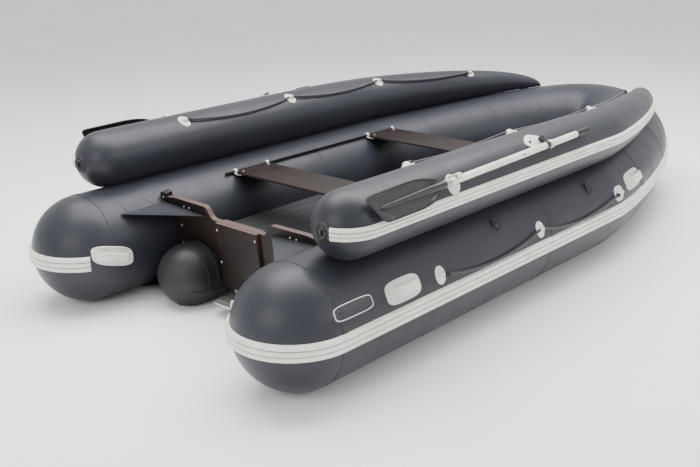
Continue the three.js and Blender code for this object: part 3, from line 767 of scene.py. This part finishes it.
def board_outline():
    half = [(0.150, 0.405), (0.164, 0.4055), (0.174, 0.409), (0.183, 0.4155), (0.190, 0.424), (0.204, 0.446),
            (0.211, 0.454), (0.222, 0.459), (0.436, 0.462), (0.496, 0.454)]
    half += arc(OFFSET, TUBE, TUBE + 0.003, 141, 203, 22)
    half += arc(SPONSON["y"], SPONSON["z"], SPONSON["radius"] + 0.003, -2, 206, 60)
    half.append((0.116, 0.062))
    return half + [(-y, z) for y, z in reversed(half)]


def rounded_box(wide, low, high, corner, steps=6):
    outline = []
    corners = ((wide - corner, low + corner, -90), (wide - corner, high - corner, 0),
               (-wide + corner, high - corner, 90), (-wide + corner, low + corner, 180))
    for y, z, first in corners:
        outline += arc(y, z, corner, first, first + 90, steps)
    return outline


HEAD = [(1.0, 0.0), (1.0, 0.22), (0.86, 0.42), (0.5, 0.58), (0.22, 0.6), (0.2, 0.42), (0.0, 0.42)]


def heads(name, spots, radius, body="hull", side="port"):
    """Round screw heads: spots lists (foot, direction)."""
    shape = Shape()
    for foot, direction in spots:
        shape.lathe([(r * radius, h * radius) for r, h in HEAD], foot, direction, 20)
    build(name, shape, "steel", side, body)


AFT = raked(0, 0, 0) - raked(0, 0, 1)
BOARD, PAD = 0.027, 0.0183
MOTOR_PAD = [(-0.135, 0.093), (0.135, 0.093), (0.135, 0.405), (-0.135, 0.405)]
SCREWS = ((0.335, 0.428, 0), (0.372, 0.428, 0), (0.126, 0.372, -PAD), (0.126, 0.215, -PAD),
          (0.055, 0.074, -0.0053), (0.41, 0.33, 0), (0.42, 0.24, 0))


def add_transom():
    """The board, the motor pad on its aft face and the clamp pad on its forward face."""
    clamp_pad = rounded_box(0.132, 0.290, 0.404, 0.012)
    boards = (("transom_board", "transom", board_outline(), 0, BOARD, 0.0022),
              ("motor_pad_board", "motor_pad", MOTOR_PAD, -PAD, -0.0003, 0.002),
              ("clamp_pad_board", "clamp_pad", clamp_pad, BOARD + 0.0003, 0.0393, 0.0016))
    for name, node, outline, aft_face, fore_face, bevel in boards:
        shape = Shape().prism(outline, aft_face, fore_face, raked)
        build(name, shape, ["face", "light_edge"], node=node, bevel=bevel, sharp=30)
    spots = [(raked(sign * y, z, depth), AFT) for sign in SIDES.values() for y, z, depth in SCREWS]
    heads("transom_screws", spots, 0.0062)
    carried("tunnel_plate", "metal", 0.001)


def add_transom_holder(side):
    """A moulded hook over the board's end, with a bolt and two ribs."""
    seat = TUBE + 0.004
    outline = [(y, TUBE + sqrt(seat ** 2 - (OFFSET - y) ** 2)) for y in spaced(0.5, 0.541, 8)]
    outline += [(0.541, 0.464), (0.538, 0.469), (0.530, 0.474), (0.503, 0.474), (0.500, 0.471)]
    rib = arc(0.520, 0.462, 0.014, 20, 160, 8) + [(0.503, 0.452), (0.537, 0.452)]
    shape = Shape().prism(outline, -0.002, 0.039, raked, (0, 0))
    for depth in (0.006, 0.0285):
        shape.prism(rib, depth, depth + 0.004, raked, (0, 0))
    build(f"holder_{side}", shape, "plastic", side, node=f"transom_holder_{side}", bevel=0.0012, sharp=30)
    heads(f"holder_bolt_{side}", [(raked(0.518, 0.449, -0.002), AFT)], 0.006, side=side)


def quadratic(a, b, c, count):
    return [a * (1 - t) ** 2 + b * 2 * (1 - t) * t + c * t * t for t in spaced(0, 1, count)]


def add_gusset(side):
    """A fabric web from the board's wing to the tube, hollow between its edges."""
    outer = [Vector((x, 0.511, 0.424)) for x in spaced(0.573, 0.328, 25)]
    inner = quadratic(Vector((0.573, 0.222, 0.411)), Vector((0.450, 0.372, 0.418)),
                      Vector((0.332, 0.499, 0.424)), 25)
    rows = []
    for k, (a, b) in enumerate(zip(outer, inner)):
        over, under = [], []
        for share in spaced(0, 1, 13):
            sag = 0.007 * sin(pi * share) * sin(pi * k / 24)
            point = a.lerp(b, share) - UP * sag
            over.append(point + UP * 0.003)
            under.append(point)
        rows.append(over + under[::-1])
    shape = Shape().loft(rows, slot=lambda k, i: 1 if 11 <= i <= 13 else 0)
    web = build(f"gusset_web_{side}", shape, ["fabric", "rubber"], side,
                node=f"splash_gusset_{side}", sharp=60)


# ---- Benches ----

RAIL_ANGLE, RAIL_LIFT = rad(124), 0.014
BENCH_WIDTH, BENCH_HALF, BENCH_TOP, BENCH_THICK = 0.232, 0.532, 0.470, 0.012


def slide_outline():
    """The CAD's C section: it grips the rail's round edge, with a tongue under the bench."""
    head = around(Vector((0, OFFSET, TUBE)), PORT, RAIL_ANGLE, TUBE + RAIL_LIFT)
    inner, outer, mouth, heel = 0.0072, 0.0115, -16, 264
    under = BENCH_TOP - BENCH_THICK - head.z - 0.0003
    points = arc(0, 0, outer, mouth, 209, 28)
    points += [(-0.014, under), (-0.052, under), (-0.052, under - 0.004), (-0.010, under - 0.004)]
    points.append((outer * cos(rad(heel)), outer * sin(rad(heel))))
    points += arc(0, 0, inner, heel, mouth, 30)
    return [(head.y + y, head.z + z) for y, z in points]


def add_slide(body, start, side):
    """Black between the white rings at its two ends."""
    outline, ring = slide_outline(), 0.016
    shape = Shape()
    ends = (0, ring, BENCH_WIDTH - ring, BENCH_WIDTH)
    for near, far, slot in zip(ends, ends[1:], (0, 1, 0)):
        shape.prism(outline, start + near, start + far, lambda y, z, x: Vector((x, y, z)), (slot, slot))
    node = f"{body}_slide_{side}"
    build(f"{node}_moulded", shape, ["white", "rubber"], side, body, node, sharp=35)


def add_bench(place, start):
    body = f"bench_{place}"
    half = BENCH_WIDTH / 2
    outline = [(start + half + z, y) for y, z in rounded_box(BENCH_HALF, -half, half, 0.014)]
    shape = Shape().prism(outline, BENCH_TOP - BENCH_THICK, BENCH_TOP, lambda x, y, z: Vector((x, y, z)))
    build(f"bench_board_{place}", shape, ["face", "dark_edge"], body=body, node=body, bevel=0.0018, sharp=30)
    spots = [(Vector((start + x, sign * 0.509, BENCH_TOP)), UP)
             for sign in SIDES.values() for x in (0.03, 0.202)]
    heads(f"bench_screws_{place}", spots, 0.0055, body)
    for side in SIDES:
        add_slide(body, start, side)


# ---- Moulded pieces on the tubes ----

def lobe(half_run, half_girth, power, count=48):
    """An outline from a diamond (power near 1) through an oval (2) to a rounded box (5)."""
    def outline(inset):
        return [(u * (half_run - inset), v * (half_girth - inset)) for u, v in squircle(count, 2 / power)]
    return outline


def skin_pad(shape, skin, girth, run, angle, outline, edges, hump=None, field=99):
    """A moulding on a skin. edges lists (inset, lift) from its rim in, and from the edge numbered field on
    the second look is used; hump(run, girth) adds height."""
    def place(along, across, lift):
        extra = hump(along, across) if hump else 0.0
        return skin(run + along, angle + across / girth, lift + extra)

    rings = [[place(u, v, lift) for u, v in outline(inset)] for inset, lift in edges]
    inset, lift = edges[-1]
    for share in (0.85, 0.7, 0.55, 0.4, 0.25, 0.12):
        rings.append([place(u * share, v * share, lift) for u, v in outline(inset)])
    shape.loft(rings, end=place(0, 0, lift), slot=lambda k, i: int(k >= field), caps=(-1,))


ROUND_RIM = mm((0, -0.6), (0, 1.2), (0.8, 2.6), (2.2, 3.6), (5, 4))
FLAT_RIM = mm((0, -0.4), (0.4, 1), (3, 1.2))
HANDLE_RIM = mm((0, -0.6), (0, 2.2), (1.2, 5), (3.5, 6.4), (6.5, 6), (9, 4), (12, 3.4))

HANDLES = {"aft_outer": (0.347, rad(22.5), 0.0), "forward_outer": (2.188, rad(25), 0.0),
           "aft_inner": (-0.024, rad(176), rad(6.4))}


def add_handle(place, side):
    """An oval base with a rounded rim, under an arched grip with two grooves along it."""
    run, angle, slant = HANDLES[place]
    half_run, half_girth = 0.098, 0.046
    shape = Shape()

    def skin(distance, around_angle, lift):
        share = (distance - run) / half_run
        return main_skin(distance, around_angle + slant * share, lift)

    skin_pad(shape, skin, TUBE, run, angle, lobe(half_run, half_girth, 3.6, 64), HANDLE_RIM)
    sections = []
    reach, plateau, bar_half, bar = 0.82, 0.50, 0.0185, 0.009
    for share in spaced(-reach, reach, 45):
        rise = smooth((reach - abs(share)) / (reach - plateau))
        low = 0.001 + 0.026 * rise
        top = low + bar + 0.0015 * rise
        flare = bar_half * (1.0 + 0.28 * (1 - rise))
        ring = []
        for a in full_turn(44):
            across = signed_power(cos(a), 0.55) * flare
            height = (low + top) / 2 + signed_power(sin(a), 0.75) * (top - low) / 2
            if sin(a) > 0:
                groove = sum(exp(-((across / flare - spot) / 0.09) ** 2) for spot in (-0.42, 0.42))
                height -= 0.0014 * groove
            ring.append(skin(run + share * half_run, angle + across / TUBE, height))
        sections.append(ring)
    shape.loft(sections)
    build(f"handle_{place}_{side}_moulded", shape, "white", side, node=f"handle_{place}_{side}", sharp=50)


VALVES = {"side": (1.020, rad(43)), "bow": (1.777, rad(40))}
VALVE_CAP = mm((24, 0), (24.6, 2), (24, 5.5), (22.2, 7.5), (20.5, 7.2), (19.6, 5.5), (18.5, 4.8), (10, 4.6),
               (9, 5.6), (0, 5.8))
VALVE_RING = mm((34.5, -1), (34.5, 1.2), (33.2, 2.6), (29, 2.8), (26.2, 2), (25.6, 0))
PLUG_CAP = mm((24.5, -2), (25, 3), (24.2, 5.2), (22.5, 5.8), (20.8, 5), (19.8, 2), (0, 1.6))
PLUG_RING = mm((40, -6.8), (39.2, -3), (36, -0.8), (30, 2.2), (26.8, 2.4), (26, -1))


def add_cap(node, side, profile, foot, direction, across, low, high, half_long, half_thick):
    """A cap that turns, and on it a finger bar with round ends, from low to high."""
    cap = Shape().lathe(profile, foot, direction)
    ahead = direction.cross(across).normalized()
    rings = []
    for height, shrink in ((low, 0.0), (high - 0.0016, 0.0003), (high - 0.0004, 0.0012), (high, 0.0026)):
        rings.append([foot + direction * height + across * (u * (half_long - shrink))
                      + ahead * (v * (half_thick - shrink)) for u, v in squircle(28, 0.5)])
    cap.loft(rings)
    build(f"{node}_moulded", cap, "plastic", side, node, node, sharp=50)


def add_ring(name, side, profile, foot, direction):
    """The rubber seat that a cap turns in."""
    ring = Shape().lathe(profile, foot, direction, caps=())
    build(name, ring, "rubber", side)


def add_valve(place, side):
    run, angle = VALVES[place]
    foot = main_skin(run, angle, 0.001)
    direction = skin_normal(main_skin, run, angle)
    add_cap(f"{place}_valve_cap_{side}", side, VALVE_CAP, foot, direction, AHEAD, 0.004, 0.0122, 0.0148,
            0.0034)
    patch = Shape()
    skin_pad(patch, main_skin, TUBE, run, angle, lobe(0.050, 0.050, 2), FLAT_RIM)
    build(f"{place}_valve_patch_{side}", patch, "tape", side)
    add_ring(f"{place}_valve_ring_{side}", side, VALVE_RING, foot, direction)


def add_bulwark_plug(side):
    centre, _, _ = bulwark_station(BULWARK["tip"] + BULWARK["radius"])
    foot = Vector((BULWARK["tip"] - 0.001, centre.y, centre.z))
    add_cap(f"bulwark_plug_{side}", side, PLUG_CAP, foot, -AHEAD, UP, 0.001, 0.0100, 0.013, 0.0038)
    add_ring(f"bulwark_plug_ring_{side}", side, PLUG_RING, foot, -AHEAD)


def add_badge(side):
    """A blank name panel: a light rim round a dark field, with no mark on it."""
    shape = Shape()
    edges = mm((0, -0.4), (0.3, 1.3), (3.4, 1.5), (4, 0.9), (6, 0.9))
    skin_pad(shape, main_skin, TUBE, 0.076, rad(25), lobe(0.101, 0.0285, 4.5, 96), edges, field=2)
    build(f"badge_blank_{side}", shape, ["strake", "badge"], side, slot="tube_fabric", sharp=60)


def add_reinforcements(side):
    """Round doublers under the board's ends and the handles' fabric."""
    shape = Shape()
    for run, angle, size in ((0.31, rad(118), 0.085), (0.17, rad(128), 0.062), (0.42, rad(150), 0.05)):
        skin_pad(shape, main_skin, TUBE, run, angle, lobe(size, size, 2, 56), FLAT_RIM)
    build(f"doublers_{side}", shape, "tape", side)


# ---- Oars ----

PIN_AXIS = Vector((0, cos(OARLOCK_AXIS), sin(OARLOCK_AXIS)))
PIN_OUT = Vector((0, PIN_AXIS.z, -PIN_AXIS.y))


def pin_point():
    centre, _, _ = bulwark_station(OARLOCK_X)
    return Vector((OARLOCK_X, centre.y, centre.z)) + PIN_AXIS * OARLOCK_HEIGHT


def at_oarlock(point, tilted=True):
    """Places a point drawn with X forward, Y away from the pin and Z along the pin's axis."""
    x, y, z = point
    if tilted:
        lean, rise = cos(OAR_TILT), sin(OAR_TILT)
        x, y = x * lean + y * rise, y * lean - x * rise
    return pin_point() + AHEAD * x + PIN_OUT * y + PIN_AXIS * z


def shaft_rings(profile, sides=36, tilted=True):
    """Rings about the shaft's line: profile lists (x, radius)."""
    return [[at_oarlock((x, OAR_OFFSET + r * cos(a), r * sin(a)), tilted) for a in full_turn(sides)]
            for x, r in profile]


def add_oar(side):
    body = f"oar_{side}"
    shaft = Shape()
    stations = [-0.728, -0.7275] + spaced(-0.70, 0.22, 12) + [0.2465, 0.247]
    shaft.loft(shaft_rings([(x, SHAFT) for x in stations]))
    build(f"shaft_painted_{side}", shaft, "shaft", side, body, f"oar_shaft_{side}")
    button = Shape()
    foot = at_oarlock((-0.205, OAR_OFFSET + SHAFT * 0.5, SHAFT * 0.8))
    up = (at_oarlock((0, 0.5, 0.8)) - at_oarlock((0, 0, 0))).normalized()
    button.lathe(mm((4, -2), (4, 4), (2.8, 5.8), (0, 6)), foot, up, 16)
    build(f"shaft_button_{side}", button, "plastic", side, body)

    grip = Shape()
    profile = [(0.2473, 0.0004), (0.2480, 0.0021), (0.253, 0.0022)]
    for k in range(8):
        x = 0.262 + 0.0105 * k
        profile += [(x, 0.0012), (x + 0.002, 0.0002), (x + 0.004, 0.0012)]
    profile += [(0.345, 0.0014), (0.353, -0.001), (0.357, -0.005), (0.358, -0.011)]
    grip.loft(shaft_rings([(x, SHAFT + over) for x, over in profile]))
    build(f"grip_moulded_{side}", grip, "rubber", side, body, f"oar_grip_{side}",
          sharp=60)
    add_blade(side, body)
    add_collar(side, body)


def add_collar(side, body):
    collar = Shape()
    hoop = mm((-13, 15.4), (-13, 16.6), (-11.5, 17.6), (-4, 17.2), (4, 17.2), (11.5, 17.6), (13, 16.6),
              (13, 15.4), (-13, 15.4))
    collar.loft(shaft_rings(hoop, tilted=False), caps=())
    hub = mm((12, -8), (14.2, -7.5), (15, -6), (15, 6), (14.2, 7.5), (10, 8), (9, 5.5), (0, 5.5))
    collar.lathe(hub, at_oarlock((0, 0, 0), False), PIN_AXIS, 32)
    neck = mm((6, 12, 6.5), (12, 9.5, 5.5), (19, 9.5, 5.5), (23.5, 11.5, 7.5))
    collar.loft([[at_oarlock((u * half_x, y, v * half_z), False) for u, v in squircle(28, 0.5)]
                 for y, half_x, half_z in neck])
    build(f"collar_moulded_{side}", collar, "plastic", side, body, f"oar_collar_{side}", sharp=50)
    stop = Shape()
    profile = mm((21, 15.2), (21, 17.8), (23, 19.2), (33, 19.2), (35, 17.8), (35, 15.2))
    stop.loft(shaft_rings(profile), caps=())
    build(f"shaft_stop_{side}", stop, "white", side, body)


BLADE = {"root": -0.772, "upper": -1.184, "lower": -1.128, "half": 0.058, "lean": rad(28)}


def blade_outline():
    root, upper, lower, half = (BLADE[key] for key in ("root", "upper", "lower", "half"))
    corners = [
        (root, -0.026, root - 0.070, -half, root - 0.170, -half - 0.002, 14),
        (upper + 0.026, -half, upper + 0.002, -half + 0.002, upper + 0.008, -half + 0.020, 8),
        (lower - 0.006, half - 0.020, lower + 0.004, half - 0.002, lower + 0.028, half, 8),
        (root - 0.150, half + 0.002, root - 0.060, half, root, 0.026, 14),
    ]
    outline = []
    for ax, ay, bx, by, cx, cy, count in corners:
        outline += quadratic(Vector((ax, ay)), Vector((bx, by)), Vector((cx, cy)), count)
    return outline


def on_blade(x, across, height):
    """Places a point on the blade's own leaning plane."""
    turn = BLADE["lean"] - OARLOCK_AXIS
    y = across * cos(turn) - height * sin(turn)
    z = across * sin(turn) + height * cos(turn)
    return at_oarlock((x, OAR_OFFSET + y, z))


def add_blade(side, body):
    outline = blade_outline()
    middle = Vector((sum(p.x for p in outline), sum(p.y for p in outline))) / len(outline)

    def loop(share, height):
        ring = []
        for point in outline:
            spot = middle + (point - middle) * share
            dish = 0.0025 * (1 - (spot.y / BLADE["half"]) ** 2)
            ring.append(on_blade(spot.x, spot.y, height - dish * 0.6))
        return ring

    front = [(1.0, -0.0015), (0.992, 0.0), (0.965, 0.0), (0.955, 0.0016), (0.925, 0.0016), (0.915, 0.0),
             (0.90, 0.0), (0.89, 0.0010), (0.875, 0.0010), (0.865, 0.0), (0.6, 0.0), (0.3, 0.0)]
    back = [(0.3, -0.005), (0.6, -0.005), (0.992, -0.005), (1.0, -0.0038)]
    rings = [loop(share, height) for share, height in front[::-1]] + [loop(s, h) for s, h in back[::-1]]
    shape = Shape().loft(rings, on_blade(middle.x, middle.y, -0.0015), on_blade(middle.x, middle.y, -0.0065))
    spine = []
    for share in spaced(0, 1, 26):
        x = -0.7283 - 0.4 * share
        radius = 0.017 - 0.010 * share
        radius *= sqrt(max(0.0, 1 - max(0.0, (share - 0.97) / 0.03) ** 2)) or 0.05
        power = 1.0 - 0.45 * smooth((share - 0.1) / 0.2)
        spine.append([on_blade(x, u * radius, v * radius) for u, v in squircle(32, power)])
    shape.loft(spine)
    build(f"blade_moulded_{side}", shape, "blade", side, body, f"oar_blade_{side}",
          sharp=50)
    ferrule = Shape()
    profile = mm((-748, 17.2), (-747.5, 17.8), (-722, 17.2), (-712, 16.6), (-711.5, 15.2))
    ferrule.loft(shaft_rings(profile), caps=())
    build(f"ferrule_{side}", ferrule, "steel", side, body)


def add_oarlock_base(side):
    """A pointed patch with a boss that flares into it, and an eye beside the boss."""
    run, angle, girth = OARLOCK_X - 0.030, rad(54), BULWARK["radius"]
    shape = Shape()
    rim = [(inset, min(lift, 0.0024)) for inset, lift in ROUND_RIM]
    skin_pad(shape, bulwark_skin, girth, run, angle, lobe(0.066, 0.044, 1.45, 64), rim)
    centre, _, _ = bulwark_station(OARLOCK_X)
    foot = Vector((OARLOCK_X, centre.y, centre.z)) + PIN_AXIS * (BULWARK["radius"] - 0.004)
    top = OARLOCK_HEIGHT - BULWARK["radius"] + 0.004 - 0.0088
    boss = mm((34, 0), (27, 6.2), (21.5, 8.5), (17.5, 11))
    boss += [(0.0165, top - 0.001), (0.0155, top), (0.0, top)]
    shape.lathe(boss, foot, PIN_AXIS)
    build(f"oarlock_patch_{side}", shape, "white", side, node=f"oarlock_base_{side}", sharp=50)
    eye = Shape()
    hole = bulwark_skin(run - 0.030, angle, 0.0035)
    eye.lathe(mm((7.2, 0), (7.2, 1.6), (5.8, 2.4), (4.8, 1.4), (0, 1)), hole,
              skin_normal(bulwark_skin, run - 0.030, angle), 24)
    build(f"oarlock_eye_{side}", eye, "rubber", side)


def add_oar_clip(side):
    run, angle = 0.930, rad(28)
    normal = skin_normal(bulwark_skin, run, angle)
    upward = AHEAD.cross(normal)
    foot = bulwark_skin(run, angle, 0)
    shape = Shape()
    skin_pad(shape, bulwark_skin, BULWARK["radius"], run, angle, lobe(0.038, 0.043, 2, 56), ROUND_RIM)
    hook = mm((28, 0), (36.5, 0), (35.5, 30), (35.2, 40), (33.5, 46.2), (29.5, 50.2), (23.5, 51.7),
              (10.5, 51.5), (7, 50.5), (6, 48.2), (7, 46.2), (9.5, 45.7), (20.5, 45.7), (25.2, 44),
              (27.8, 40.2), (28.4, 34))
    shape.prism(hook, -0.013, 0.013, lambda up, off, x: foot + upward * up + normal * off + AHEAD * x, (0, 0))
    build(f"clip_moulded_{side}", shape, "white", side, node=f"oar_clip_{side}", bevel=0.0012, sharp=35)


# ---- Lifelines ----

CORD = 0.006
LINES = {
    "main": {"skin": main_skin, "girth": TUBE, "stops": [0.572, 1.297, 2.005], "angle": rad(20),
             "sag": rad(-9.5), "length": 1.467},
    "bulwark": {"skin": bulwark_skin, "girth": BULWARK["radius"], "stops": [0.879, 1.607, 2.325, 3.045],
                "angle": rad(122), "sag": rad(15), "length": 2.184},
}
STRETCH_PARTS = 8


def line_route(line):
    """The route's points as the CAD has them: each stretch hangs a little between its patches."""
    points = []
    for first, last in zip(line["stops"], line["stops"][1:]):
        for i in range(STRETCH_PARTS):
            hang = 4 * i * (STRETCH_PARTS - i) / STRETCH_PARTS ** 2
            run = first + (last - first) * i / STRETCH_PARTS
            points.append(line["skin"](run, line["angle"] + line["sag"] * hang, CORD + 0.004))
    points.append(line["skin"](line["stops"][-1], line["angle"], CORD + 0.004))
    return points


def smooth_path(points, per_part):
    """Points along a Catmull-Rom curve through the route."""
    path = []
    ends = [points[0] * 2 - points[1]] + points + [points[-1] * 2 - points[-2]]
    for a, b, c, d in zip(ends, ends[1:], ends[2:], ends[3:]):
        for step in range(per_part):
            t = step / per_part
            path.append(0.5 * (2 * b + (c - a) * t + (2 * a - 5 * b + 4 * c - d) * t * t
                               + (3 * b - a - 3 * c + d) * t ** 3))
    path.append(points[-1])
    return path


def strands(shape, path, radius, lay, count=3, sides=18):
    """A laid rope along a path: its strands turn once in each lay length."""
    rings, travelled = [], 0.0
    for k, point in enumerate(path):
        ahead = path[min(k + 1, len(path) - 1)] - path[max(k - 1, 0)]
        travelled += (point - path[k - 1]).length if k else 0.0
        ahead.normalize()
        across = ahead.cross(UP).normalized()
        over = across.cross(ahead)
        twist = 2 * pi * travelled / lay
        ring = []
        for a in full_turn(sides):
            dent = abs(sin(count * (a + twist) / 2)) ** 0.6
            reach = radius * (0.80 + 0.20 * dent)
            ring.append(point + across * (reach * cos(a)) + over * (reach * sin(a)))
        rings.append(ring)
    shape.loft(rings)


def add_lifeline(kind, side):
    line = LINES[kind]
    route = line_route(line)
    shape = Shape()
    strands(shape, smooth_path(route, 22), CORD, 0.042)
    node = f"lifeline_{kind}_{side}"
    rope = build(f"rope_{kind}_{side}", shape, "rope", side, node=node)
    knots = Shape()
    for end, inner in ((route[0], route[1]), (route[-1], route[-2])):
        toward = (inner - end).normalized()
        centre = end + toward * 0.031
        across = toward.cross(UP).normalized()
        turns = [centre + across * (0.0072 * cos(a)) + across.cross(toward) * (0.0072 * sin(a))
                 + toward * (0.0085 * sin(a / 2)) for a in spaced(0, 4 * pi, 49)]
        strands(knots, turns, 0.0052, 0.03, sides=12)
    knot = build(f"rope_knots_{kind}_{side}", knots, "rope", side)
    path = [in_frame(point, side) for point in smooth_path(route, 8)]
    tuple(path[0])
    pads = Shape()

    def bridge(dr, dg):
        return 0.0168 * exp(-(dr / 0.0175) ** 4) * exp(-(dg / 0.0105) ** 4)

    for stop in line["stops"]:
        skin_pad(pads, line["skin"], line["girth"], stop, line["angle"], lobe(0.030, 0.038, 2, 72),
                 ROUND_RIM + mm((8, 4), (11, 4)), bridge)
    build(f"rope_patches_{kind}_{side}", pads, "white", side, sharp=60)


# ---- Studio ----

def add_light(name, place, target, size, power):
    lamp = bpy.data.lights.new(name, "AREA")
    lamp.shape = "RECTANGLE"
    lamp.size, lamp.size_y = size
    lamp.energy = power
    light = placed(name, lamp)
    light.location = place
    light.rotation_euler = (Vector(target) - Vector(place)).to_track_quat("-Z", "Y").to_euler()


def add_studio():
    mesh = bpy.data.meshes.new("studio_floor")
    reach = 30
    mesh.from_pydata([(-reach, -reach, 0), (reach, -reach, 0), (reach, reach, 0), (-reach, reach, 0)], [],
                     [(0, 1, 2, 3)])
    finish = Finish("studio_floor")
    finish.colour(finish.blend(finish.noise(1.2), 0.3, 0.7, "f4f4f4", "f8f8f8"))
    finish.rough(finish.noise(3), (0.8, 0.9))
    mesh.materials.append(finish.material)
    floor = placed("studio_floor", mesh)
    floor.location.z = -0.002
    floor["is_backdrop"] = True
    world = bpy.data.worlds.new("studio")
    world.use_nodes = True
    world.node_tree.nodes["Background"].inputs["Color"].default_value = (1.0, 1.0, 1.0, 1)
    world.node_tree.nodes["Background"].inputs["Strength"].default_value = 1.0
    bpy.context.scene.world = world
    add_light("overhead", (0.2, 0.3, 4.2), (0, 0, 0), (6.5, 3.6), 560)
    add_light("aft_softbox", (-4.6, -0.6, 2.0), (-0.8, 0, 0.3), (2.2, 1.6), 40)
    add_light("side_softbox", (0.6, -5.0, 2.6), (0, 0, 0.3), (4.0, 1.6), 60)


# ---- The boat ----

add_camera()
for side in SIDES:
    for kind in LINES:
        add_lifeline(kind, side)
add_strake("strake_main", "main_strake", main_strake_spots(), 0.032, 0.013)
add_floor()
add_transom()
for place, start in (("aft", 1.035), ("forward", 2.035)):
    add_bench(place, start)
repainted("tunnel_panel", "rubber")
for side in SIDES:
    add_main_tubes(side)
    add_bulwark_tube(side)
    add_seam_tapes(side)
    add_strake(f"strake_bulwark_{side}", f"bulwark_strake_{side}", bulwark_strake_spots(), 0.023,
               0.010, side)
    add_sponson(side)
    repainted(f"bottom_panel_{side}", "rubber")
    add_transom_holder(side)
    add_gusset(side)
    carried(f"bench_rail_{side}", "rubber", 0.0003)
    for place in HANDLES:
        add_handle(place, side)
    for place in VALVES:
        add_valve(place, side)
    add_bulwark_plug(side)
    add_badge(side)
    add_reinforcements(side)
    add_oar(side)
    add_oarlock_base(side)
    add_oar_clip(side)
add_studio()

boxes = {"cad": CAD_BOX, "visual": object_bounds()}
{name: [[float(v) for v in corner] for corner in box] for name, box in boxes.items()}
